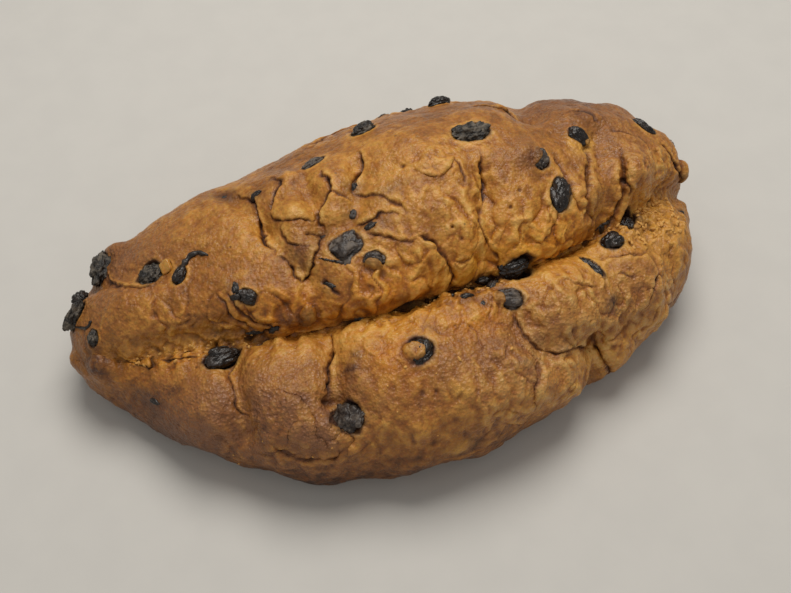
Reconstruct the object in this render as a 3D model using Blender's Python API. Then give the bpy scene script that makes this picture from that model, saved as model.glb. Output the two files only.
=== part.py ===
"""A stollen: one loaf of folded fruit dough, with the raisins that show set in its crust.

The loaf is lofted from stations along its length. At each station its section is two smooth curves,
the low front lobe and the taller fold that lies over it, which meet in a crease.

Frame: +X runs along the loaf to its blunt end, -Y faces the front lobe and +Z is up.
The origin is on the flat base. Sizes below are in millimetres and degrees.
"""

from math import cos, pi, radians, sin

import bmesh
import bpy
import numpy as np
from mathutils import Matrix, Vector

MM = 0.001

# The loaf
HALF_LENGTH = 141.0
NOSE_LEFT = (13.0, 23.0)  # the two end points: distance behind the middle line, height above the base
NOSE_RIGHT = (0.0, 29.0)
BASE_REACH = 7.0  # how far the ends would have to rise before the base leaves the table
TAPER_LEFT = 1.8  # exponents of the end curves: higher is blunter
TAPER_RIGHT = 3.6

# Each station: share of the half length, front width, back width, front lobe height, fold height,
# the crease's place as distance from the middle line and height, and how far the fold hangs over it
STATIONS = (
    (-1.00, 36, 84, 45, 73, -22, 42, -4),
    (-0.85, 44, 78, 47, 72, -24, 43, -4),
    (-0.60, 78, 77, 50, 73, -26, 46, -3),
    (-0.30, 85, 77, 53, 78, -30, 47, 0),
    (0.00, 86, 80, 56, 84, -31, 49, 1),
    (0.30, 78, 80, 56, 85, -30, 50, 1),
    (0.60, 65, 77, 55, 83, -24, 49, 0),
    (0.85, 58, 79, 52, 83, -13, 48, -2),
    (1.00, 46, 103, 50, 88, -6, 46, -3),
)

# Swellings of the crust: distance along the loaf, distance over the crust from the crease
# (up the fold is positive, down the front lobe negative), reach along, reach over, height
SWELLINGS = (
    (-88, 68, 26, 26, 4.5),  # dome over the narrow end
    (-112, 25, 17, 13, 4.5),
    (-70, 24, 15, 12, 3.0),
    (-40, 76, 14, 10, 3.5),  # pillows between the splits
    (-18, 67, 10, 13, 3.0),
    (-38, 54, 9, 8, 3.5),
    (-44, 40, 8, 8, 3.0),
    (-16, 13, 22, 10, 5.0),  # belly that hangs over the crease
    (18, 63, 20, 34, 5.5),  # dome over the middle
    (14, 21, 11, 12, 3.0),
    (52, 55, 17, 26, 4.5),
    (52, 14, 18, 11, 4.0),
    (104, 70, 20, 24, 3.0),  # dome over the blunt end
    (122, 58, 14, 16, 5.0),
    (49, 84, 14, 14, 2.0),
    (-68, 82, 18, 18, 2.5),
    (-111, 65, 7, 6, 3.5),  # knob beside the fruit of the narrow end
    (78, 23, 12, 13, 2.5),
    (112, 25, 16, 14, 4.5),
    (134, 25, 10, 18, 5.0),
    (107, 23, 6, 6, 3.5),  # raisins baked in under the crust
    (-130, -3, 6, 5, 3.0),
    (-108, -31, 19, 15, 4.5),  # pillows of the front lobe
    (-64, -29, 16, 19, 5.0),
    (-50, -61, 24, 13, 2.0),
    (-12, -36, 23, 20, 5.0),
    (16, -12, 20, 10, 2.5),
    (24, -55, 24, 13, 4.5),
    (58, -24, 19, 15, 4.5),
    (94, -36, 19, 20, 5.0),
    (50, -64, 12, 10, 3.5),
    (120, -24, 12, 14, 3.0),
    (116, -50, 14, 12, 3.5),
    (84, -62, 14, 12, 2.5),
    (-22, -74, 14, 12, 3.0),
    (-104, -46, 14, 10, 3.5),
)

# Valleys between the swellings: both ends as (along, over), half width, depth
VALLEYS = (
    ((-58, 71), (-52, 53), 5, 3.0),
    ((-52, 53), (-42, 25), 5, 3.5),
    ((-30, 73), (-33, 46), 4, 3.0),
    ((-8, 74), (-14, 56), 5, 3.5),
    ((-33, 46), (-20, 48), 5, 2.5),
    ((14, 35), (11, 6), 5, 3.0),
    ((38, 49), (27, 6), 5, 4.0),
    ((79, 104), (75, 77), 9, 5.5),
    ((75, 77), (80, 59), 7, 2.5),
    ((96, 45), (86, 7), 6, 4.0),
    ((-128, 43), (-98, 39), 6, 2.5),
    ((-80, -8), (-83, -44), 5, 4.5),
    ((-38, 0), (-47, -41), 5, 5.0),
    ((-47, -41), (-30, -68), 9, 2.5),
    ((30, -24), (40, -44), 7, 3.0),
    ((40, -44), (67, -50), 7, 3.0),
    ((67, -50), (66, -71), 5, 4.0),
    ((76, -7), (82, -52), 7, 2.5),
    ((106, -16), (112, -57), 8, 2.5),
)

FOOT_WANDER = 2.2  # how far the foot of the crust wanders in and out
FOOT_BAND = 24.0  # height up to which it wanders
SOFT_FOOT = 9.0  # swellings fade out below this height
CREASE_BAND = 13.0  # and within this distance of the crease

# Raisins: distance along, distance over, length, width, thickness, turn in the crust,
# and how far the raisin stands proud of it
RAISINS = {
    "raisin_end_upper": (-118, 58, 13, 8, 8, 62, 4.0),
    "raisin_tip_upper": (-131, 36, 10, 9, 8, 75, 5.5),
    "raisin_tip_jagged": (-134, 24, 15, 6, 6, 15, 4.5),
    "raisin_tip_low": (-130, 12, 8, 6, 6, 70, 2.5),
    "raisin_left_burnt": (-101, 39, 12, 11, 8, 40, 3.0),
    "raisin_left_drop": (-89, 35, 9, 6, 6, 55, 2.5),
    "raisin_left_pair": (-66, 21, 10, 7, 6, -40, 2.5),
    "raisin_under_lip": (-46, 11, 9, 7, 6, 70, 2.0),
    "raisin_crease_left": (-84, -7, 15, 9, 8, 8, 4.0),
    "raisin_middle_burnt": (-25, 38, 17, 15, 8, 20, 2.2),
    "raisin_middle_small": (-16, 29, 9, 7, 6, -20, 2.5),
    "raisin_top_left": (-22, 83, 11, 6, 6, 15, 2.0),
    "raisin_back_ridge_left": (3, 100, 11, 7, 7, 10, 3.5),
    "raisin_back_ridge": (42, 112, 11, 7, 7, 15, 4.0),
    "raisin_top_big": (40, 71, 15, 9.5, 8, -5, 3.0),
    "raisin_right_dome": (65, 47, 11, 9, 7, 70, 2.5),
    "raisin_right_torn": (89, 50, 11, 8, 7, -55, 2.5),
    "raisin_right_glossy": (68, 30, 15, 9.5, 8, 62, 3.0),
    "raisin_right_edge": (124, 38, 12, 6, 6, -50, 2.0),
    "raisin_right_rim": (137, 28, 9, 6, 6, -60, 2.5),
    "raisin_right_nose": (138, 13, 8, 7, 6, 80, 3.0),
    "raisin_crease_right_high": (100, -2, 10, 8, 7, 75, 3.0),
    "raisin_crease_right": (87, -11, 11, 9, 8, 20, 3.5),
    "raisin_crease_middle": (41, 6, 15, 9, 8, 5, 4.5),
    "raisin_front_grey": (33, -18, 13, 10, 7, -30, 2.0),
    "raisin_front_slit": (74, -18, 13, 4, 5, -62, 1.0),
    "raisin_front_big": (-10, -29, 14, 12, 8, 65, 2.5),
    "raisin_front_burnt": (-44, -46, 13, 12, 7, 30, 1.8),
    "raisin_back_one": (-86, 126, 12, 9, 7, 35, 3.0),
    "raisin_back_two": (-40, 138, 11, 8, 7, -30, 3.0),
    "raisin_back_three": (-4, 148, 13, 10, 8, 15, 3.5),
    "raisin_back_four": (31, 131, 10, 8, 7, 70, 2.5),
    "raisin_back_five": (72, 147, 14, 9, 8, -20, 3.5),
}
WRINKLES = 0.10  # depth of a raisin's folds, as a share of its size
SOCKET_GAP = 0.4  # clearance between a raisin and the socket it lies in

PEEL_SIZE = (5.0, 6.0, 4.5)
PEEL_PLACE = (-93.2, 41, 10.0, 2.0)  # along, over, turn, stands proud

# Mesh density
STEPS_ALONG = 43
STEPS_FRONT = 14
STEPS_FOLD = 26
STEPS_BASE = 4
SPLINE_STEPS = 24
FINE_ALONG = 240  # the net on which toppings are placed
FINE_FRONT = 80
FINE_FOLD = 160

CRUST_BROWN = (0.40, 0.19, 0.065, 1.0)
RAISIN_BLACK = (0.018, 0.012, 0.010, 1.0)
PEEL_YELLOW = (0.62, 0.36, 0.06, 1.0)


def clear_scene():
    for old in list(bpy.data.objects):
        bpy.data.objects.remove(old)


def make_material(name, colour, roughness):
    material = bpy.data.materials.new(name)
    material.use_nodes = True
    shader = material.node_tree.nodes["Principled BSDF"]
    shader.inputs["Base Color"].default_value = colour
    shader.inputs["Roughness"].default_value = roughness
    shader.inputs["Metallic"].default_value = 0.0
    return material


def station_values(share):
    """The station columns at this share of the half length, on smooth curves through the rows."""
    rows = np.array(STATIONS, float)
    places = rows[:, 0]
    slopes = np.gradient(rows, places, axis=0)
    row = int(np.clip(np.searchsorted(places, share) - 1, 0, len(places) - 2))
    gap = places[row + 1] - places[row]
    t = (share - places[row]) / gap
    start = (2 * t**3 - 3 * t**2 + 1) * rows[row] + (t**3 - 2 * t**2 + t) * gap * slopes[row]
    end = (3 * t**2 - 2 * t**3) * rows[row + 1] + (t**3 - t**2) * gap * slopes[row + 1]
    return start + end


def spline_piece(a, b, c, d):
    """Points from b to c on the centripetal Catmull-Rom curve through all four."""
    gaps = [np.linalg.norm(q - p) ** 0.5 for p, q in ((a, b), (b, c), (c, d))]
    k0, k1, k2, k3 = np.cumsum([0.0, *gaps])
    t = np.linspace(k1, k2, SPLINE_STEPS, endpoint=False)[:, None]

    def mix(p, q, low, high):
        return ((high - t) * p + (t - low) * q) / (high - low)

    abc = mix(mix(a, b, k0, k1), mix(b, c, k1, k2), k0, k2)
    bcd = mix(mix(b, c, k1, k2), mix(c, d, k2, k3), k1, k3)
    return mix(abc, bcd, k1, k2)


def curve_through(landmarks, count):
    """Evenly spaced points on a smooth curve through the landmarks."""
    marks = np.array(landmarks, float)
    marks = np.vstack([2 * marks[0] - marks[1], marks, 2 * marks[-1] - marks[-2]])
    pieces = [spline_piece(*marks[i : i + 4]) for i in range(len(marks) - 3)]
    line = np.vstack([*pieces, marks[-2:-1]])
    run = np.r_[0, np.cumsum(np.linalg.norm(np.diff(line, axis=0), axis=1))]
    places = np.linspace(0, run[-1], count)
    return np.stack([np.interp(places, run, line[:, k]) for k in (0, 1)], axis=1)


def section(share, front_count, fold_count):
    """(y, z) points of the front lobe, from its foot to the crease, and of the fold, from there down."""
    _, front, back, low, high, crease_y, crease_z, lip = station_values(share)
    flat = -0.70 * front - crease_y
    rise = high - crease_z
    front_lobe = (
        (-0.90 * front, 0),
        (-0.985 * front, 0.20 * low),
        (-1.00 * front, 0.42 * low),
        (-0.92 * front, 0.76 * low),
        (-0.70 * front, 0.95 * low),
        (crease_y + 0.46 * flat, low),
        (crease_y + 0.13 * flat, low - 0.18 * (low - crease_z)),
        (crease_y + 1, crease_z),
    )
    fold = (
        (crease_y + 1, crease_z),
        (crease_y - lip, crease_z + 0.22 * rise),
        (crease_y - lip + 3, crease_z + 0.42 * rise),
        (crease_y + 11, crease_z + 0.74 * rise),
        (crease_y + 15 + 0.28 * (back - crease_y), 0.995 * high),
        (0.42 * back, 0.975 * high),
        (0.80 * back, 0.76 * high),
        (1.00 * back, 0.42 * high),
        (0.985 * back, 0.18 * high),
        (0.90 * back, 0),
    )
    return curve_through(front_lobe, front_count), curve_through(fold, fold_count)


def end_taper(share):
    power = TAPER_LEFT if share < 0 else TAPER_RIGHT
    return (1 - abs(share) ** power) ** 0.5


def nose_of(share):
    """(y, z) of the end point on this side of the middle."""
    return NOSE_LEFT if share < 0 else NOSE_RIGHT


def smooth_net(along_count, front_count, fold_count):
    """The loaf without its swellings, as points[station, row], and how far over the crust each lies."""
    turns = np.linspace(-pi / 2, pi / 2, along_count + 2)[1:-1]
    rings = []
    for share in np.sin(turns):
        front_lobe, fold = section(share, front_count, fold_count)
        ring = np.vstack([front_lobe, fold[1:]])
        taper = end_taper(share)
        nose_y, nose_z = nose_of(share)
        drop = min(nose_z * (1 - taper), BASE_REACH)
        foot = np.clip(1 - ring[:, 1] / nose_z, 0, 1)
        y = nose_y + taper * (ring[:, 0] - nose_y)
        z = nose_z + taper * (ring[:, 1] - nose_z) - drop * foot
        rings.append(np.stack([np.full(len(ring), share * HALF_LENGTH), y, z], axis=1))
    points = np.array(rings)
    steps = np.linalg.norm(np.diff(points, axis=1), axis=2)
    over = np.concatenate([np.zeros((len(points), 1)), np.cumsum(steps, axis=1)], axis=1)
    return points, over - over[:, front_count - 1 : front_count]


def net_normals(points):
    across = np.cross(np.gradient(points, axis=0), np.gradient(points, axis=1))
    return across / np.maximum(np.linalg.norm(across, axis=2, keepdims=True), 1e-9)


def swelling_height(along, over):
    """How far the crust swells out, or lies in a valley, at these places."""
    height = np.zeros_like(over)
    for x, place, reach_along, reach_over, swell in SWELLINGS:
        height += swell * np.exp(-(((along - x) / reach_along) ** 2) - ((over - place) / reach_over) ** 2)
    for start, end, half_width, depth in VALLEYS:
        start, run = np.array(start, float), np.subtract(end, start).astype(float)
        from_start = np.stack([along, over], axis=-1) - start
        share = np.clip(from_start @ run / (run @ run), 0, 1)
        away = np.linalg.norm(from_start - share[..., None] * run, axis=-1)
        height -= depth * np.exp(-((away / half_width) ** 2))
    return height


def end_share(along):
    """0 over the loaf's length and 1 at its two ends."""
    return np.clip((np.abs(along) / HALF_LENGTH - 0.8) / 0.2, 0, 1)


def crust_net(along_count, front_count, fold_count):
    """The loaf's crust with its swellings: points, outward normals, and distance over from the crease."""
    points, over = smooth_net(along_count, front_count, fold_count)
    along, height = points[..., 0], points[..., 2]
    rise = swelling_height(along, over) * np.clip(height / SOFT_FOOT, 0, 1)
    crease_edge = np.clip(np.abs(over) / CREASE_BAND, 0, 1)
    points = points + (rise * crease_edge)[..., None] * net_normals(points)
    side = np.sign(over) * (1 - end_share(along)) * np.clip(1 - height / FOOT_BAND, 0, 1)
    wander = np.sin(along / 11.0) + 0.7 * np.sin(along / 5.3 + 1.0 + np.sign(over))
    points[..., 1] += FOOT_WANDER * side * wander
    points[..., 2] = np.where(height <= 0, 0.0, np.maximum(points[..., 2], 0))
    return points, net_normals(points), over


def loaf_mesh(name):
    points, _, _ = crust_net(STEPS_ALONG, STEPS_FRONT, STEPS_FOLD)
    model = bmesh.new()
    rings = []
    for ring in points:
        shares = np.linspace(0, 1, STEPS_BASE + 1)[1:-1, None]
        base = ring[-1] + shares * (ring[0] - ring[-1])
        rings.append([model.verts.new(point * MM) for point in np.vstack([ring, base])])
    count = len(rings[0])
    for ring, after in zip(rings, rings[1:]):
        for j in range(count):
            k = (j + 1) % count
            model.faces.new((ring[j], after[j], after[k], ring[k]))
    for ring, side in ((rings[0], -1), (rings[-1], 1)):
        tip = model.verts.new(Vector((side * HALF_LENGTH, *nose_of(side))) * MM)
        for j in range(count):
            k = (j + 1) % count
            model.faces.new((tip, ring[j], ring[k]) if side < 0 else (tip, ring[k], ring[j]))
    bmesh.ops.recalc_face_normals(model, faces=model.faces)
    mesh = bpy.data.meshes.new(name)
    model.to_mesh(mesh)
    model.free()
    mesh.shade_smooth()
    return mesh


class Crust:
    """A fine net of the crust, on which toppings are placed."""

    def __init__(self):
        self.points, self.normals, self.over = crust_net(FINE_ALONG, FINE_FRONT, FINE_FOLD)

    def place(self, along, over):
        """(point, outward normal, direction along the loaf) at this place on the crust."""
        station = int(np.argmin(np.abs(self.points[:, 0, 0] - along)))
        row = int(np.argmin(np.abs(self.over[station] - over)))
        outward = Vector(self.normals[station, row])
        heading = Vector((1, 0, 0))
        if abs(outward.x) > 0.9:
            heading = Vector((0, 1, 0))
        heading = (heading - heading.dot(outward) * outward).normalized()
        return Vector(self.points[station, row]), outward, heading

    def frame(self, along, over, turn, sink):
        """Matrix of a topping with its middle this deep under the crust and its long side turned."""
        point, outward, heading = self.place(along, over)
        aside = outward.cross(heading)
        angle = radians(turn)
        long_side = cos(angle) * heading + sin(angle) * aside
        cross_side = outward.cross(long_side)
        middle = (point - sink * outward) * MM
        turned = Matrix((long_side, cross_side, outward)).transposed().to_4x4()
        return Matrix.Translation(middle) @ turned


def raisin_mesh(name, length, width, thickness, seed, grow=0.0):
    """A shrivelled ellipsoid with a few soft folds, swelled by grow for a socket cutter."""
    model = bmesh.new()
    bmesh.ops.create_icosphere(model, subdivisions=2, radius=1.0)
    waves = np.random.default_rng(seed).uniform(0, 2 * pi, 3)
    for vert in model.verts:
        x, y, z = vert.co
        fold = sin(3.0 * x + waves[0]) * sin(4.0 * y + waves[1]) + 0.5 * sin(5.0 * z + 2.0 * x + waves[2])
        size = 1 + WRINKLES * fold
        vert.co = Vector((x * length / 2, y * width / 2, z * thickness / 2)) * size
    model.normal_update()
    if grow:
        for vert in model.verts:
            vert.co += vert.normal * grow
    bmesh.ops.scale(model, vec=(MM, MM, MM), verts=model.verts)
    mesh = bpy.data.meshes.new(name)
    model.to_mesh(mesh)
    model.free()
    return mesh


def peel_mesh(name, grow=0.0):
    """A small block of candied peel with rounded edges."""
    model = bmesh.new()
    bmesh.ops.create_cube(model, size=1.0)
    sizes = [(side + 2 * grow) * MM for side in PEEL_SIZE]
    bmesh.ops.scale(model, vec=sizes, verts=model.verts)
    bmesh.ops.bevel(model, geom=model.edges, offset=1.0 * MM, segments=1, affect="EDGES", profile=0.5)
    mesh = bpy.data.meshes.new(name)
    model.to_mesh(mesh)
    model.free()
    return mesh


def add_object(name, mesh, material=None, matrix=None, collection=None):
    made = bpy.data.objects.new(name, mesh)
    if material:
        mesh.materials.append(material)
    if matrix:
        made.matrix_world = matrix
    (collection or bpy.context.scene.collection).objects.link(made)
    return made


def add_cutter(name, mesh, matrix, collection):
    cutter = add_object(name, mesh, matrix=matrix, collection=collection)
    cutter.hide_render = True
    cutter.display_type = "WIRE"


def add_raisins(crust, cutters):
    black = make_material("raisin_skin", RAISIN_BLACK, 0.35)
    for seed, (name, sizes) in enumerate(RAISINS.items()):
        along, over, length, width, thickness, turn, proud = sizes
        matrix = crust.frame(along, over, turn, thickness / 2 - proud)
        raisin = add_object(name, raisin_mesh(name, length, width, thickness, seed), black, matrix)
        raisin.data.shade_smooth()
        cutter = raisin_mesh("socket_" + name, length, width, thickness, seed, SOCKET_GAP)
        add_cutter("socket_" + name, cutter, matrix, cutters)


def add_peel(crust, cutters):
    yellow = make_material("candied_peel", PEEL_YELLOW, 0.4)
    along, over, turn, proud = PEEL_PLACE
    matrix = crust.frame(along, over, turn, PEEL_SIZE[2] / 2 - proud)
    add_object("candied_peel", peel_mesh("candied_peel"), yellow, matrix)
    add_cutter("socket_peel", peel_mesh("socket_peel", SOCKET_GAP), matrix, cutters)


def add_loaf(cutters):
    brown = make_material("baked_crust", CRUST_BROWN, 0.55)
    loaf = add_object("loaf", loaf_mesh("loaf"), brown)
    sockets = loaf.modifiers.new("fruit_sockets", "BOOLEAN")
    sockets.operation = "DIFFERENCE"
    sockets.solver = "EXACT"
    sockets.operand_type = "COLLECTION"
    sockets.collection = cutters


def main():
    clear_scene()
    cutters = bpy.data.collections.new("socket_cutters")
    bpy.context.scene.collection.children.link(cutters)
    crust = Crust()
    add_raisins(crust, cutters)
    add_peel(crust, cutters)
    add_loaf(cutters)


main()
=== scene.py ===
"""The looks of a stollen: a folded loaf of fruit dough with a cracked, buttery crust, the raisins and
the cube of candied peel that show in it, and a plain studio round it.

A place on the crust is given as (along, over), in millimetres: along runs from the middle of the loaf to
its blunt end, and over is the distance over the crust from the crease, up the fold if it is positive and
down the front lobe if it is negative. Everything is worked out in millimetres and made in metres.
"""

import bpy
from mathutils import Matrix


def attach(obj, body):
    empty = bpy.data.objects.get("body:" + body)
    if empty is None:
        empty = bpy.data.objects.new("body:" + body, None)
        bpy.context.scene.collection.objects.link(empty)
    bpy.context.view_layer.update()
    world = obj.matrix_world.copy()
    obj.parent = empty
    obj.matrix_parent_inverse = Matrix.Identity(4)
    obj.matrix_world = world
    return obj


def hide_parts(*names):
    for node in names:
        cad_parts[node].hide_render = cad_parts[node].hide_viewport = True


bl_info = {
    "name": "Stollen",
    "version": (1, 0, 0),
    "blender": (4, 5, 0),
    "location": "3D View > Sidebar > Stollen",
    "description": "Bakes the crust, the raisins and the candied peel of a folded fruit loaf",
    "category": "Object",
}

from functools import lru_cache
from itertools import product
from math import cos, pi, radians, sin, sqrt

import bmesh
import bpy
import numpy as np
from bpy.props import FloatProperty, FloatVectorProperty, PointerProperty
from mathutils import Vector

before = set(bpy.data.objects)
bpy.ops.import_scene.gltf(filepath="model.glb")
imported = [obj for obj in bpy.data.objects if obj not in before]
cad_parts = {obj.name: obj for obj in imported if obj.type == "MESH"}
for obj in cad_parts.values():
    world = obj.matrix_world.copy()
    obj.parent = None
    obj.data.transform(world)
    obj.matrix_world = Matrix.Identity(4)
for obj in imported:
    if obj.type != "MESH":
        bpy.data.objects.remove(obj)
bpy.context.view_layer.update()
MM = 0.001

# ---------------------------------------------------------------- the form of the loaf

HALF_LENGTH = 141.0
NOSE_LEFT = (13.0, 23.0)  # the two end points: distance behind the middle line, height above the base
NOSE_RIGHT = (0.0, 29.0)
BASE_REACH = 7.0
TAPER_LEFT = 1.8
TAPER_RIGHT = 3.6

# Share of the half length, front width, back width, front lobe height, fold height,
# the crease's place as distance from the middle line and height, and how far the fold hangs over it
STATIONS = (
    (-1.00, 36, 84, 45, 73, -22, 42, -4),
    (-0.85, 44, 78, 47, 72, -24, 43, -4),
    (-0.60, 78, 77, 50, 73, -26, 46, -3),
    (-0.30, 85, 77, 53, 78, -30, 47, 0),
    (0.00, 86, 80, 56, 84, -31, 49, 1),
    (0.30, 78, 80, 56, 85, -30, 50, 1),
    (0.60, 65, 77, 55, 83, -24, 49, 0),
    (0.85, 58, 79, 52, 83, -13, 48, -2),
    (1.00, 46, 103, 50, 88, -6, 46, -3),
)

# Along, over, reach along, reach over, height
SWELLINGS = (
    (-88, 68, 26, 26, 4.5),  # dome over the narrow end
    (-112, 25, 17, 13, 4.5),
    (-70, 24, 15, 12, 3.0),
    (-40, 76, 14, 10, 3.5),  # pillows between the splits
    (-18, 67, 10, 13, 3.0),
    (-38, 54, 9, 8, 3.5),
    (-44, 40, 8, 8, 3.0),
    (-16, 13, 22, 10, 5.0),  # belly that hangs over the crease
    (18, 63, 20, 34, 5.5),  # dome over the middle
    (14, 21, 11, 12, 3.0),
    (52, 55, 17, 26, 4.5),
    (52, 14, 18, 11, 4.0),
    (104, 70, 20, 24, 3.0),  # dome over the blunt end
    (122, 58, 14, 16, 5.0),
    (49, 84, 14, 14, 2.0),
    (-68, 82, 18, 18, 2.5),
    (-111, 65, 7, 6, 3.5),  # knob beside the fruit of the narrow end
    (78, 23, 12, 13, 2.5),
    (112, 25, 16, 14, 4.5),
    (134, 25, 10, 18, 5.0),
    (107, 23, 6, 6, 3.5),  # raisins baked in under the crust
    (-130, -3, 6, 5, 3.0),
    (-108, -31, 19, 15, 4.5),  # pillows of the front lobe
    (-64, -29, 16, 19, 5.0),
    (-50, -61, 24, 13, 2.0),
    (-12, -36, 23, 20, 5.0),
    (16, -12, 20, 10, 2.5),
    (24, -55, 24, 13, 4.5),
    (58, -24, 19, 15, 4.5),
    (94, -36, 19, 20, 5.0),
    (50, -64, 12, 10, 3.5),
    (120, -24, 12, 14, 3.0),
    (116, -50, 14, 12, 3.5),
    (84, -62, 14, 12, 2.5),
    (-22, -74, 14, 12, 3.0),
    (-104, -46, 14, 10, 3.5),
)

# Both ends as (along, over), half width, depth
VALLEYS = (
    ((-58, 71), (-52, 53), 5, 3.0),
    ((-52, 53), (-42, 25), 5, 3.5),
    ((-30, 73), (-33, 46), 4, 3.0),
    ((-8, 74), (-14, 56), 5, 3.5),
    ((-33, 46), (-20, 48), 5, 2.5),
    ((14, 35), (11, 6), 5, 3.0),
    ((38, 49), (27, 6), 5, 4.0),
    ((79, 104), (75, 77), 9, 5.5),
    ((75, 77), (80, 59), 7, 2.5),
    ((96, 45), (86, 7), 6, 4.0),
    ((-128, 43), (-98, 39), 6, 2.5),
    ((-80, -8), (-83, -44), 5, 4.5),
    ((-38, 0), (-47, -41), 5, 5.0),
    ((-47, -41), (-30, -68), 9, 2.5),
    ((30, -24), (40, -44), 7, 3.0),
    ((40, -44), (67, -50), 7, 3.0),
    ((67, -50), (66, -71), 5, 4.0),
    ((76, -7), (82, -52), 7, 2.5),
    ((106, -16), (112, -57), 8, 2.5),
)
FOOT_WANDER = 2.2
FOOT_BAND = 24.0
SOFT_FOOT = 9.0
CREASE_BAND = 13.0
SPLINE_STEPS = 24

# ---------------------------------------------------------------- the fine relief of the crust

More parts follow.
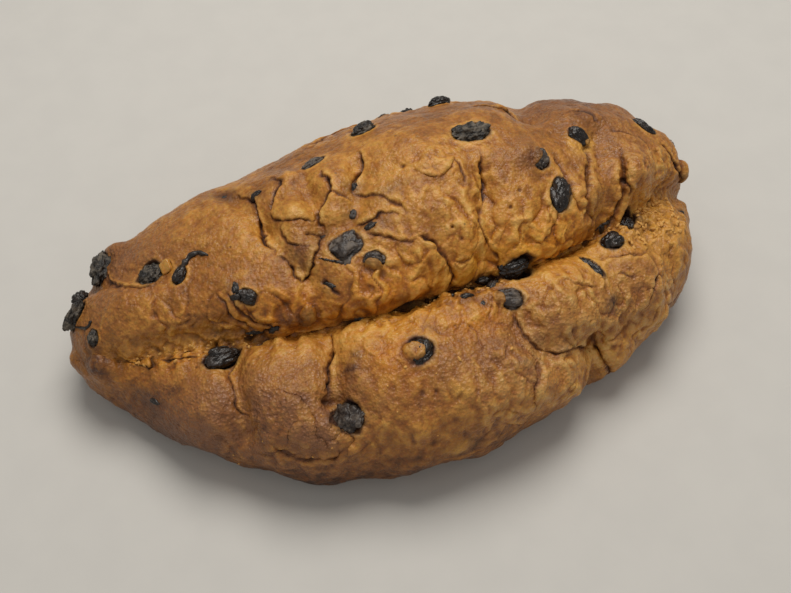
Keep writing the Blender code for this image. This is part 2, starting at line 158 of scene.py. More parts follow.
# Splits, folds and ripples: path as (along, over) points, half width, depth, lip (how much higher the crust
# stands on the left of the path, or on its right if negative), and how dark the line is: painted shade at
# the bottom of the split
SPLITS = (
    (((-40, 80), (-39, 72), (-44, 67), (-47, 60)), 0.5, 1.4, 0.9, 1.0),
    (((-47, 60), (-45, 54), (-38, 52), (-31, 53)), 0.4, 0.8, 0.6, 0.8),
    (((-23, 76), (-22, 67), (-23, 61), (-27, 58), (-31, 53), (-30, 48)), 0.5, 1.8, 0.9, 1.0),
    (((-25, 61), (-20, 61), (-15, 57)), 0.4, 0.6, -0.5, 0.5),
    (((-5, 81), (-5, 75), (-12, 67), (-14, 61)), 0.6, 1.8, 1.0, 1.0),
    (((-14, 61), (-11, 58), (-4, 54), (1, 48), (4, 44)), 0.5, 0.9, 0.7, 0.6),
    (((-57, 76), (-52, 68), (-53, 57), (-53, 47), (-51, 39)), 0.5, 1.6, 1.2, 1.0),
    (((-51, 39), (-48, 36), (-47, 29), (-45, 25)), 0.5, 1.4, 1.0, 1.0),
    (((-45, 25), (-41, 30), (-37, 36), (-34, 40), (-32, 47)), 0.5, 1.3, 1.0, 1.0),
    (((-44, 53), (-46, 47), (-44, 42), (-38, 39)), 0.4, 0.7, 0.5, 0.5),
    (((-38, 46), (-33, 46), (-31, 44)), 0.5, 1.0, 0.3, 0.9),
    (((-19, 47), (-12, 46), (-6, 47), (0, 45)), 0.5, 0.9, 0.6, 0.8),
    (((-16, 41), (-9, 37), (-2, 33), (4, 32)), 0.5, 1.0, 0.9, 0.5),
    (((-38, 25), (-35, 22), (-31, 19)), 0.5, 1.0, -0.6, 1.0),
    (((12, 60), (15, 56), (20, 54), (25, 56), (28, 60)), 0.5, 0.7, 1.3, 0.5),
    (((28, 59), (30, 54), (29, 48)), 0.4, 0.6, 0.6, 0.5),
    (((40, 60), (38, 52), (36, 44), (34, 38)), 0.5, 1.3, -0.6, 0.8),
    (((34, 38), (30, 31), (31, 24), (34, 15), (33, 8)), 0.9, 1.3, 0.9, 0.5),
    (((4, 34), (9, 28), (12, 22), (13, 14), (11, 7)), 0.6, 1.8, -1.5, 1.0),
    (((13, 22), (19, 19), (24, 21)), 0.5, 0.7, -0.6, 0.4),
    (((50, 90), (58, 89), (66, 84), (69, 76)), 0.6, 1.6, 1.5, 1.0),
    (((67, 95), (68, 90), (67, 83)), 1.4, 2.4, -1.6, 1.0),
    (((46, 22), (52, 17), (60, 20), (66, 26)), 0.6, 0.8, 0.8, 0.3),
    (((-116, 56), (-117, 45), (-114, 37), (-107, 32), (-100, 31)), 0.5, 0.6, 1.5, 0.5),
    (((-78, 24), (-74, 15), (-68, 9), (-59, 5)), 0.5, 1.0, 0.9, 0.5),
    (((-74, 24), (-71, 16), (-65, 11), (-58, 8)), 0.5, 1.0, 0.9, 0.5),
    (((-70, 20), (-67, 15), (-62, 11), (-56, 10)), 0.5, 0.9, 0.8, 0.5),
    (((-72, 2), (-67, 3), (-62, 7), (-56, 8)), 1.1, 2.7, 1.2, 1.0),
    (((-107, -4), (-99, -4), (-92, -6)), 0.4, 1.0, 0.6, 0.9),
    (((-121, 3), (-116, -3), (-111, -6), (-108, 1)), 0.5, 0.8, 1.3, 0.6),
    (((-62, 1), (-66, -2), (-72, -5)), 0.5, 1.1, 0.9, 0.7),
    (((-58, 2), (-50, 1), (-41, 3), (-32, 2)), 0.5, 1.2, 1.0, 0.6),
    (((-34, 3), (-27, 4), (-17, 3), (-8, 5), (2, 2), (11, 4)), 1.2, 3.4, 1.4, 1.0),
    (((9, 3), (16, 1), (24, 3), (32, 1)), 0.7, 1.9, 1.0, 0.8),
    (((48, 1), (57, 3), (66, 2), (76, 2), (84, -1)), 0.6, 1.9, 1.0, 1.0),
    (((-79, -9), (-82, -15), (-83, -24), (-84, -31), (-81, -37)), 0.5, 1.1, 1.1, 0.9),
    (((-38, -3), (-40, -10), (-43, -20), (-47, -28), (-50, -36)), 0.6, 2.2, 0.7, 1.0),
    (((-64, -29), (-59, -34), (-57, -41), (-57, -49), (-53, -53)), 0.6, 1.1, -1.2, 0.7),
    (((-61, -42), (-66, -45), (-67, -50)), 0.5, 0.8, 0.8, 0.8),
    (((-74, -47), (-67, -56), (-59, -59), (-47, -57)), 0.9, 0.9, -1.0, 0.15),
    (((-53, -52), (-48, -50), (-44, -54), (-47, -60)), 0.5, 1.0, 0.9, 0.6),
    (((33, -24), (34, -31), (37, -38), (42, -43)), 0.5, 1.1, 1.1, 0.7),
    (((42, -43), (49, -46), (57, -48), (66, -52)), 0.5, 1.2, 1.4, 0.7),
    (((41, -44), (36, -49), (29, -57), (30, -64)), 0.8, 1.2, 0.9, 0.4),
    (((70, -48), (70, -54), (71, -60), (74, -68), (78, -78)), 1.1, 3.0, 1.6, 1.0),
    (((90, -42), (93, -38), (96, -34), (102, -33)), 0.5, 1.3, 0.8, 1.0),
    (((82, -25), (89, -29)), 0.4, 0.7, 0.4, 0.9),
    (((78, -15), (85, -19), (94, -22), (104, -22)), 0.6, 1.0, -1.2, 0.4),
    (((72, -12), (74, -18), (76, -27)), 0.8, 0.6, 1.2, 0.3),
    (((56, -19), (62, -23), (70, -26)), 0.5, 0.7, 0.8, 0.4),
    (((92, 46), (89, 38), (85, 31), (80, 26), (79, 19), (83, 11)), 2.0, 2.6, 1.8, 0.35),
    (((105, 33), (101, 26), (99, 18), (96, 10), (92, 3)), 1.8, 3.0, 1.6, 0.45),
    (((72, 46), (73, 34), (74, 24), (75, 15)), 1.6, 1.4, -1.0, 0.1),
    (((99, 24), (101, 19), (102, 15)), 0.6, 1.9, 0.9, 1.0),
    (((90, 64), (97, 59), (102, 50)), 0.5, 0.6, 0.9, 0.3),
    (((104, 44), (112, 38), (118, 30), (117, 20)), 0.5, 0.7, -0.9, 0.3),
    (((126, 27), (132, 17), (138, 8)), 0.6, 1.4, 1.1, 0.8),
    (((-14, -79), (-3, -81), (8, -79), (15, -73)), 0.5, 1.0, 1.0, 0.5),
    (((16, -66), (24, -72), (34, -72)), 0.5, 0.8, 0.8, 0.4),
    (((104, -46), (110, -50), (116, -46)), 0.5, 1.0, 0.9, 0.7),
    (((-20, 110), (-6, 118), (10, 116)), 0.6, 1.3, 1.0, 0.6),
    (((26, 120), (36, 126), (50, 124), (58, 132)), 0.6, 1.3, -1.0, 0.6),
    (((-70, 108), (-58, 116), (-50, 128)), 0.6, 1.1, 1.0, 0.5),
    (((84, 118), (90, 128), (88, 140)), 0.6, 1.2, 1.0, 0.5),
)

# Small rises and hollows: along, over, radius, height (negative for a hollow), how dark: painted shade
# in a hollow, a darker tint on a rise
DIMPLES = (
    (59, 53, 6.5, 2.6, 0.0),
    (90, 24, 4.5, 1.6, 0.0),
    (88, 16, 4.0, 1.6, 0.0),
    (76, 26, 4.0, 1.0, 0.0),
    (-53, -46, 5.0, 3.0, 0.0),
    (-34, 77, 3.6, 1.4, 0.0),
    (-53, 11, 4.0, 1.8, 0.0),
    (76, -34, 4.0, 2.2, 0.0),
    (-130, -2, 5.0, 4.2, 0.0),
    (52, -39, 2.0, 0.9, 0.3),
    (-111, 66, 4.5, 2.0, 0.0),
    (-61, 77, 5.0, -0.9, 0.5),
    (-50, -37, 2.0, -2.6, 1.0),
    (-14, -45, 1.1, -0.9, 0.5),
    (-9, -46, 1.0, -0.8, 0.5),
    (-14, -65, 1.4, -0.8, 0.3),
    (-62, -40, 9.0, 1.7, 0.0),
    (-80, -50, 8.0, 1.2, 0.0),
    (-97, -34, 9.0, 1.3, 0.0),
    (-88, -20, 6.0, 1.0, 0.0),
    (-50, -52, 4.0, 1.6, 0.0),
    (-45, -58, 3.5, 1.4, 0.0),
    (-56, -58, 3.5, 1.3, 0.0),
    (-20, -56, 7.0, 1.3, 0.0),
    (10, -58, 8.0, 1.3, 0.0),
    (34, -62, 7.0, 1.4, 0.0),
    (22, -38, 6.0, 1.1, 0.0),
    (50, -32, 8.0, 1.4, 0.0),
    (96, -54, 7.0, 1.4, 0.0),
    (54, -39, 1.4, -0.9, 0.7),
    (8, 64, 0.9, -1.0, 1.0),
    (18, 33, 0.9, -0.9, 0.8),
    (20, 28, 0.8, -0.8, 0.7),
    (44, 33, 0.9, -0.9, 0.8),
    (50, 38, 0.8, -0.7, 0.7),
    (115, -55, 3.0, 1.4, 0.7),
    (76, -60, 7.0, 2.4, 0.0),
    (-4, -72, 4.5, 1.2, 0.0),
    (3, -48, 4.0, 1.0, 0.0),
    (-38, 58, 5.5, 1.4, 0.0),
    (-24, 52, 4.0, 1.3, 0.0),
    (20, 60, 7.0, 1.3, 0.0),
    (105, -6, 4.5, 2.0, 0.0),
    (-28, -14, 12.0, 1.6, 0.0),
    (66, 15, 8.0, 1.2, 0.0),
)

# Places where the skin is finely wrinkled: along, over, reach along, reach over, how much
WRINKLED = (
    (-6, 14, 34, 20, 1.15),  # the belly over the crease
    (46, 14, 24, 18, 1.15),
    (26, 44, 20, 18, 0.8),
    (88, 26, 20, 22, 0.2),
    (112, 20, 16, 16, 0.6),
    (-64, 12, 24, 14, 0.7),
    (-104, 14, 24, 14, 0.5),
    (-112, 44, 14, 12, 0.4),
    (-70, -46, 34, 18, 0.8),
    (100, -22, 24, 16, 0.8),
    (58, -18, 22, 12, 0.9),
    (14, -16, 30, 12, 0.7),
    (34, -50, 50, 20, 1.0),
    (92, -50, 24, 20, 0.8),
    (0, 120, 90, 26, 0.5),
)

# Smooth tight skin: along, over, reach along, reach over, how much
SMOOTH = (
    (-88, 66, 24, 22, 0.8),
    (-2, 66, 10, 12, 0.7),
    (18, 84, 22, 12, 0.5),
    (-62, -32, 14, 14, 0.6),
    (-12, -36, 12, 12, 0.4),
    (-38, 60, 9, 7, 0.7),
    (-53, -46, 5, 5, 0.9),
    (59, 53, 7, 7, 0.6),
    (0, 98, 120, 16, 0.6),
)

# Tints of the crust: along, over, reach along, reach over, look, amount
PATCHES = (
    (15, 15, 34, 16, "brown", -0.26),  # the belly
    (56, 16, 24, 16, "brown", -0.24),
    (20, 13, 16, 8, "brown", -0.12),
    (-112, -46, 22, 18, "brown", 0.15),
    (112, 8, 18, 14, "brown", -0.18),
    (-50, 54, 16, 12, "brown", -0.14),
    (10, 60, 44, 26, "brown", -0.08),
    (-110, 26, 26, 14, "brown", 0.12),
    (-118, 58, 24, 16, "brown", 0.22),
    (-136, 6, 10, 12, "brown", 0.16),
    # the ridge and the top of the blunt end are browned as the crust's baking and as painted shade where they
    # turn from the light
    (0, 100, 110, 16, "brown", 0.14),  # the ridge
    (96, 84, 26, 24, "brown", 0.34),
    (106, 56, 24, 14, "brown", 0.14),
    (-24, -12, 40, 10, "brown", -0.18),  # the front lobe
    (62, -12, 28, 10, "brown", -0.14),
    (18, -12, 14, 5, "brown", 0.18),
    (17, -24, 12, 6, "brown", -0.22),
    (-24, -13, 13, 8, "brown", -0.16),
    # towards the foot of the front lobe the crust is browned as its baking and as painted shade
    (-104, -36, 24, 22, "brown", 0.20),
    (-52, -76, 34, 14, "brown", 0.16),
    (-4, -76, 36, 12, "brown", 0.10),
    (54, -50, 38, 24, "brown", -0.28),
    (100, -50, 22, 22, "brown", -0.16),
    (-8, 13, 50, 13, "honey", 0.9),
    (52, 12, 28, 13, "honey", 0.8),
    (94, 8, 22, 12, "honey", 0.5),
    (-58, 10, 16, 10, "honey", 0.7),
    (-102, -3, 34, 7, "honey", 0.7),
    (-8, -9, 36, 8, "honey", 0.7),
    (64, -8, 22, 8, "honey", 0.7),
    (16, -24, 12, 7, "honey", 1.2),
    (-66, -38, 34, 22, "rosy", 0.70),
    (30, -42, 34, 20, "rosy", 0.70),
    (88, -36, 24, 16, "rosy", 0.40),
    (110, -56, 24, 14, "rosy", 0.40),
    (-104, -30, 24, 20, "rosy", 0.40),
    (-110, 56, 26, 18, "rosy", 0.45),
    (-132, 26, 16, 16, "rosy", 0.40),
    (104, 36, 20, 20, "rosy", 0.45),
    (96, 82, 24, 20, "rosy", 0.40),
    (-34, 42, 10, 8, "rosy", 0.50),
    (-98, 2, 34, 8, "crumb", 0.40),
    (112, -10, 20, 14, "crumb", 0.95),
    (-8, -8, 30, 8, "crumb", 0.35),
    (60, -8, 24, 8, "crumb", 0.45),
    (94, 46, 3, 3, "crumb", 1.4),
    (89, 44, 6, 2.4, "crumb", 1.4),
    (84, 49, 2.4, 3, "crumb", 1.2),
    (70, 89, 3, 6, "crumb", 0.8),
    (-43, 36, 7, 6, "plum", 0.70),
    (-33, 46, 5, 3, "plum", 0.6),
    (0, 56, 9, 3, "plum", 0.5),
    (105, -7, 5, 5, "plum", 0.9),
    (59, 50, 8, 7, "rosy", 0.5),
    (-53, -46, 6, 6, "rosy", 0.7),
    (-20, -30, 9, 12, "honey", 1.0),
    (-20, -30, 9, 12, "brown", -0.12),
    (1, -48, 4, 3, "crumb", 1.0),
    (-4, -72, 5, 3, "crumb", 0.8),
    (76, -34, 4, 4, "plum", 0.8),
    (-53, 11, 5, 4, "plum", 0.7),
    (-130, -2, 5, 5, "plum", 1.2),
    (-61, 77, 6, 4, "plum", 0.7),
    (59, 50, 6, 5, "plum", 0.3),
    (-10, 43, 9, 4, "plum", 0.5),
    (12, 34, 5, 8, "plum", 0.3),
    (-112, -20, 6, 4, "plum", 0.5),
    (84, 18, 7, 10, "plum", 0.35),
    (116, -52, 6, 4, "plum", 0.6),
    (-37, -27, 3, 2, "plum", 1.0),
    (-33, -23, 2, 2, "plum", 0.9),
    (-104, -18, 3, 2, "plum", 0.8),
    (-75, -41, 2.5, 2, "plum", 1.0),
    # painted shade along the foot of the front lobe
    (-80, -80, 64, 10, "dark", 0.32),
    (76, -19, 5, 9, "crumb", 0.8),
    # painted shade in the slit of the crease, where the fold hangs over it
    (-14, 3, 22, 4.5, "dark", 1.1),  # the black slit in the middle of the crease
    (-8, 11, 3, 4, "dark", 0.6),
    (4, 9, 3, 4, "dark", 0.5),
    (24, 6, 9, 3, "dark", 0.7),
)

# Skins of dough over a raisin: which way the skin lies off its middle, as a turn from the loaf's length,
# how far, and its reach, both as shares of the raisin
HOODS = {
    "raisin_front_big": (180, 0.34, 0.80),
    "raisin_right_dome": (150, 1.0, 0.98),
    "raisin_right_torn": (-50, 1.1, 0.62),
    "raisin_front_grey": (170, 1.00, 0.80),
    "raisin_middle_small": (-120, 0.70, 0.90),
    "raisin_under_lip": (0, 0.0, 1.5),
    "raisin_right_nose": (0, 0.0, 1.5),
}

# How dark a raisin shows through the skin that covers it
FILMS = {
    "raisin_front_grey": 0.5,
    "raisin_under_lip": 0.35,
    "raisin_middle_small": 0.4,
}

# Where the foot of the front lobe draws in: along, reach along, how far
DRAWN_IN = (
    (-130, 16, 2.2),
    (-20, 34, 2.2),
    (36, 26, 1.2),
)

RAISIN_KINDS = {
    "raisin_end_upper": "scorched",
    "raisin_tip_jagged": "scorched",
    "raisin_tip_low": "scorched",
    "raisin_left_burnt": "scorched",
    "raisin_middle_burnt": "dusky",
    "raisin_top_big": "scorched",
    "raisin_back_ridge_left": "scorched",
    "raisin_front_burnt": "dusky",
    "raisin_under_lip": "dusky",
    "raisin_middle_small": "dusky",
    "raisin_top_left": "dusky",
    "raisin_right_dome": "dusky",
    "raisin_right_nose": "dusky",
    "raisin_front_grey": "dusky",
}

# Raisins that the oven has burst or pressed flat: how jagged, how square (2 is round) and how big
BURST = {
    "raisin_end_upper": (2.0, 2.2, 1.32),
    "raisin_tip_upper": (0.3, 2.0, 0.86),
    "raisin_tip_jagged": (2.6, 2.6, 0.92),
    "raisin_left_pair": (0.6, 2.2, 0.86),
    "raisin_left_burnt": (2.2, 2.6, 1.0),
    "raisin_middle_burnt": (2.0, 3.2, 0.86),
    "raisin_front_burnt": (1.6, 2.2, 1.12),
    "raisin_top_big": (3.0, 2.2, 1.05),
    "raisin_front_big": (0.4, 2.0, 0.95),
    "raisin_front_slit": (0.3, 2.0, 1.02),
}

# Raisins that have come up out of the crease: how far along, towards the back and up
RISEN = {
    "raisin_crease_middle": (0.0, 0.8, 3.4),
    "raisin_crease_right_high": (0.0, -1.5, 1.0),
    "raisin_end_upper": (-1.2, -1.0, 2.4),
    "raisin_front_burnt": (-0.9, 0.8, 1.0),
}

# Small bits of raisin: along, over, length, width, turn, how far they stand proud
BITS = (
    (-61, 77, 8, 4, 20, 0.3),
    (-50, 70, 6, 3, 10, 0.6),
    (-70, 25, 6, 3.2, 75, 0.9),
    (-71, 21, 5, 2.8, 20, 0.8),
    (-18, 51, 5, 3.5, 60, 0.7),
    (-13, 43, 6, 3.5, 10, 0.8),
    (-13, 63, 6, 3, 60, 0.4),
    (-35, 23, 6, 2.5, -40, 0.6),
    (-32, 45, 5, 3, 0, 0.7),
    (30, -8, 7, 5, 30, 1.4),
    (28, 4, 7, 5, 10, 1.6),
    (22, -1, 5, 3.5, 50, 1.2),
    (17, -12, 6, 3.5, 0, 0.7),
    (12, -9, 3, 2.5, 40, 0.6),
    (22, -17, 3, 2.2, 40, 0.5),
    (-112, -20, 7, 3.5, -20, 0.6),
    (-67, 4, 8, 4, 10, 0.6),
    (-60, 7, 6, 3.5, 20, 0.8),
    (-26, 5, 6, 4, 20, 1.0),
    (-16, 3, 5, 3.5, -10, 0.8),
    (-3, 3, 6, 4, 10, 1.0),
    (6, -3, 5, 3.5, 60, 0.9),
    (88, 4, 6, 3, 80, 0.7),
    (76, -35, 4, 3, 70, 0.2),
    (133, -10, 4, 3, 40, 0.6),
    (20, 128, 7, 4, 30, 0.6),
    (-64, 132, 6, 4, 70, 0.6),
    (96, 124, 7, 4, -20, 0.7),
)

# Thin shreds of raisin: path as (along, over) points, thickness at its start and at its end
SHREDS = (
    (((-88, 37), (-84, 42), (-80, 44), (-76, 42)), 3.2, 1.4),
    (((-36, 34), (-31, 32), (-27, 30)), 0.7, 1.1),
    (((-128, 20), (-131, 17), (-136, 18)), 1.6, 0.8),
    (((93, 6), (89, 7), (85, 5)), 1.6, 0.8),
)

# Crumbs: along, over, reach along, reach over, how many, size
CRUMBS = (
    (112, -8, 17, 12, 80, 1.3),
    (20, -3, 20, 7, 44, 1.0),
    (70, 2, 22, 5, 16, 0.8),
    (-90, -1, 26, 6, 28, 0.9),
    (-5, -8, 26, 5, 16, 0.8),
    (0, -38, 90, 30, 20, 0.5),
    (3, -37, 0.5, 0.5, 1, 1.3),
    (25, -38, 0.5, 0.5, 1, 1.2),
    (-17, -34, 0.5, 0.5, 1, 1.0),
)

# Places where the dough has torn to crumbs: along, over, reach along, reach over, how much
CRUMBLY = (
    (112, -8, 17, 13, 1.2),
    (20, -5, 17, 9, 0.9),
    (-92, 0, 32, 7, 0.8),
    (60, 3, 22, 6, 0.5),
    (-12, -6, 24, 5, 0.5),
    (124, 12, 10, 12, 0.4),
)

SOCKET_DEPTH = 2.6  # how deep the crust sinks under a fruit, and how high its rim stands
SOCKET_RIM = 0.18

# The net of the crust: stations along the loaf, rows over the front lobe and over the fold, and the rows
# at which it is split into pieces
ALONG_COUNT = 640
FRONT_ROWS = 190
FOLD_ROWS = 300
FACE_SHARE = 0.72  # the share of the fold's rows that lie on its first 0.6, where the detail is finest
CREASE_ROW = FRONT_ROWS - 1
SHOULDER_ROW = 95
FACE_ROW = CREASE_ROW + 108
TOP_ROW = CREASE_ROW + 215
WALL_STEPS = 3
WALL_DRAW = 5.0  # how far the walls inside the loaf stay behind the crust at its ends

# Subdivisions of the ball that a fruit, a bit of raisin and a crumb are made from
FRUIT_DETAIL, BIT_DETAIL, CRUMB_DETAIL = 5, 4, 2

# What the crust keeps for its material at each of its points; "dark" is painted shade in the splits, pits
# and crease, round the fruit and on the front foot, with a few dark spots of the crust's own
LOOKS = ("brown", "honey", "rosy", "crumb", "plum", "dark")
SYRUP = (168, 96, 28)

LOOK_AT = (0.0005, 0.0, 0.0185)
KEY_SPOT = (0.15, 0.30, 1.0)
FILL_SPOT = (-0.5, -1.0, 0.7)
FLOOR_SIZE = 6.0
FLOOR_GAP = 0.0002
FLOOR_CLOUD = (0.3, 0.3, 0.3)


class Noise:
    """Smooth three-dimensional noise, the same on each run."""

    def __init__(self, seed):
        random = np.random.default_rng(seed)
        pulls = random.normal(size=(256, 3))
        self.pulls = pulls / np.linalg.norm(pulls, axis=1, keepdims=True)
        self.spots = random.uniform(0, 1, (256, 3))

    def pick(self, cell):
        mixed = cell[..., 0] * 73856093 ^ cell[..., 1] * 19349663 ^ cell[..., 2] * 83492791
        return ((mixed ^ (mixed >> 13)) * 1274126177 >> 16) & 255

    def smooth(self, points, size):
        """From about -1 to 1, with lumps of this size."""
        scaled = points / size
        cell = np.floor(scaled).astype(np.int64)
        part = scaled - cell
        ease = part**3 * (part * (part * 6 - 15) + 10)
        total = np.zeros(points.shape[:-1])
        for corner in product((0, 1), repeat=3):
            pull = self.pulls[self.pick(cell + corner)]
            weight = np.where(corner, ease, 1 - ease).prod(-1)
            total += ((part - corner) * pull).sum(-1) * weight
        return 1.7 * total

    def rough(self, points, size, octaves=3, gain=0.5):
        """Lumps of this size with ever smaller ones on them."""
        return sum(gain**k * self.smooth(points + 31.7 * k, size / 2**k) for k in range(octaves))

    def ridges(self, points, size):
        """1 along winding ridges, falling to 0 between them."""
        return 1 - np.clip(np.abs(self.smooth(points, size)) * 2.2, 0, 1)

    def cells(self, points, size):
        """Distances to the nearest and the second nearest of many scattered spots, as shares of size."""
        scaled = points / size
        cell = np.floor(scaled).astype(np.int64)
        first = np.full(points.shape[:-1], 9.0)
        second = first.copy()
        for step in product((-1, 0, 1), repeat=3):
            spot = cell + step + self.spots[self.pick(cell + step)]
            away = np.linalg.norm(spot - scaled, axis=-1)
            second = np.minimum(second, np.maximum(first, away))
            first = np.minimum(first, away)
        return first, second


GRAIN = Noise(11)
SKIN = Noise(23)


def smoothstep(value, low, high):
    share = np.clip((value - low) / (high - low), 0, 1)
    return share * share * (3 - 2 * share)


def station_values(share):
    """The station columns at this share of the half length, on smooth curves through the rows."""
    rows = np.array(STATIONS, float)
    places = rows[:, 0]
    slopes = np.gradient(rows, places, axis=0)
    row = int(np.clip(np.searchsorted(places, share) - 1, 0, len(places) - 2))
    gap = places[row + 1] - places[row]
    t = (share - places[row]) / gap
    start = (2 * t**3 - 3 * t**2 + 1) * rows[row] + (t**3 - 2 * t**2 + t) * gap * slopes[row]
    end = (3 * t**2 - 2 * t**3) * rows[row + 1] + (t**3 - t**2) * gap * slopes[row + 1]
    return start + end


def spline_piece(a, b, c, d):
    """Points from b to c on the centripetal Catmull-Rom curve through all four."""
    gaps = [np.linalg.norm(q - p) ** 0.5 for p, q in ((a, b), (b, c), (c, d))]
    k0, k1, k2, k3 = np.cumsum([0.0, *gaps])
    t = np.linspace(k1, k2, SPLINE_STEPS, endpoint=False)[:, None]

    def mix(p, q, low, high):
        return ((high - t) * p + (t - low) * q) / (high - low)

    abc = mix(mix(a, b, k0, k1), mix(b, c, k1, k2), k0, k2)
    bcd = mix(mix(b, c, k1, k2), mix(c, d, k2, k3), k1, k3)
    return mix(abc, bcd, k1, k2)


def curve_through(landmarks, shares):
    """Points at these shares of the length of a smooth curve through the landmarks."""
    marks = np.array(landmarks, float)
    marks = np.vstack([2 * marks[0] - marks[1], marks, 2 * marks[-1] - marks[-2]])
    pieces = [spline_piece(*marks[i : i + 4]) for i in range(len(marks) - 3)]
    line = np.vstack([*pieces, marks[-2:-1]])
    run = np.r_[0, np.cumsum(np.linalg.norm(np.diff(line, axis=0), axis=1))]
    places = np.asarray(shares) * run[-1]
    return np.stack([np.interp(places, run, line[:, k]) for k in range(line.shape[1])], axis=1)


def section(share, front_shares, fold_shares):
    """(y, z) points from the front foot to the crease and on over the fold to the back foot."""
    _, front, back, low, high, crease_y, crease_z, lip = station_values(share)
    flat = -0.70 * front - crease_y
    rise = high - crease_z
    front_lobe = (
        (-0.90 * front, 0),
        (-0.985 * front, 0.20 * low),
        (-1.00 * front, 0.42 * low),
        (-0.92 * front, 0.76 * low),
        (-0.70 * front, 0.95 * low),
        (crease_y + 0.46 * flat, low),
        (crease_y + 0.13 * flat, low - 0.18 * (low - crease_z)),
        (crease_y + 1, crease_z),
    )
    fold = (
        (crease_y + 1, crease_z),
        (crease_y - lip, crease_z + 0.22 * rise),
        (crease_y - lip + 3, crease_z + 0.42 * rise),
        (crease_y + 11, crease_z + 0.74 * rise),
        (crease_y + 15 + 0.28 * (back - crease_y), 0.995 * high),
        (0.42 * back, 0.975 * high),
        (0.80 * back, 0.76 * high),
        (1.00 * back, 0.42 * high),
        (0.985 * back, 0.18 * high),
        (0.90 * back, 0),
    )
    return np.vstack([curve_through(front_lobe, front_shares), curve_through(fold, fold_shares[1:])])


def end_taper(share):
    power = np.where(np.asarray(share) < 0, TAPER_LEFT, TAPER_RIGHT)
    return (1 - np.abs(share) ** power) ** 0.5


def nose_of(share):
    """(y, z) of the end point on this side of the middle."""
    return NOSE_LEFT if share < 0 else NOSE_RIGHT


def end_share(along):
    """0 over the loaf's length and 1 at its two ends."""
    return np.clip((np.abs(along) / HALF_LENGTH - 0.8) / 0.2, 0, 1)


def even_stations(count):
    """Shares of the half length that lie evenly along the loaf's outline."""
    shares = np.sin(np.linspace(-pi / 2, pi / 2, 4001))
    half_width = 0.5 * HALF_LENGTH * end_taper(shares)
    steps = np.hypot(np.diff(shares * HALF_LENGTH), np.diff(half_width))
    run = np.r_[0, np.cumsum(steps)]
    return np.interp(np.linspace(0, run[-1], count + 2)[1:-1], run, shares)


def near_path(along, over, path):
    """Distance from each place to the path, the same with a sign that is positive on its left, and how
    far along it the nearest point is, from 0 to 1."""
    points = curve_through(path, np.linspace(0, 1, 4 * len(path)))
    best = np.full(along.shape, 1e9)
    left, share = np.zeros(along.shape), np.zeros(along.shape)
    for k, (start, end) in enumerate(zip(points, points[1:])):
        run = end - start
        dx, dy = along - start[0], over - start[1]
        t = np.clip((dx * run[0] + dy * run[1]) / (run @ run), 0, 1)
        away = np.hypot(dx - t * run[0], dy - t * run[1])
        nearer = away < best
        best = np.where(nearer, away, best)
        left = np.where(nearer, np.sign(run[0] * dy - run[1] * dx), left)
        share = np.where(nearer, (k + t) / (len(points) - 1), share)
    return best, left * best, share


def blurred(values, reach):
    """The running mean over a square of the net that reaches this many points each way."""
    for axis in (0, 1):
        edges = [(0, 0), (0, 0)]
        edges[axis] = (reach + 1, reach)
        total = np.cumsum(np.pad(values, edges, mode="edge"), axis=axis)
        width = 2 * reach + 1
        count = total.shape[axis] - width
        ahead = np.take(total, range(width, width + count), axis)
        values = (ahead - np.take(total, range(count), axis)) / width
    return values


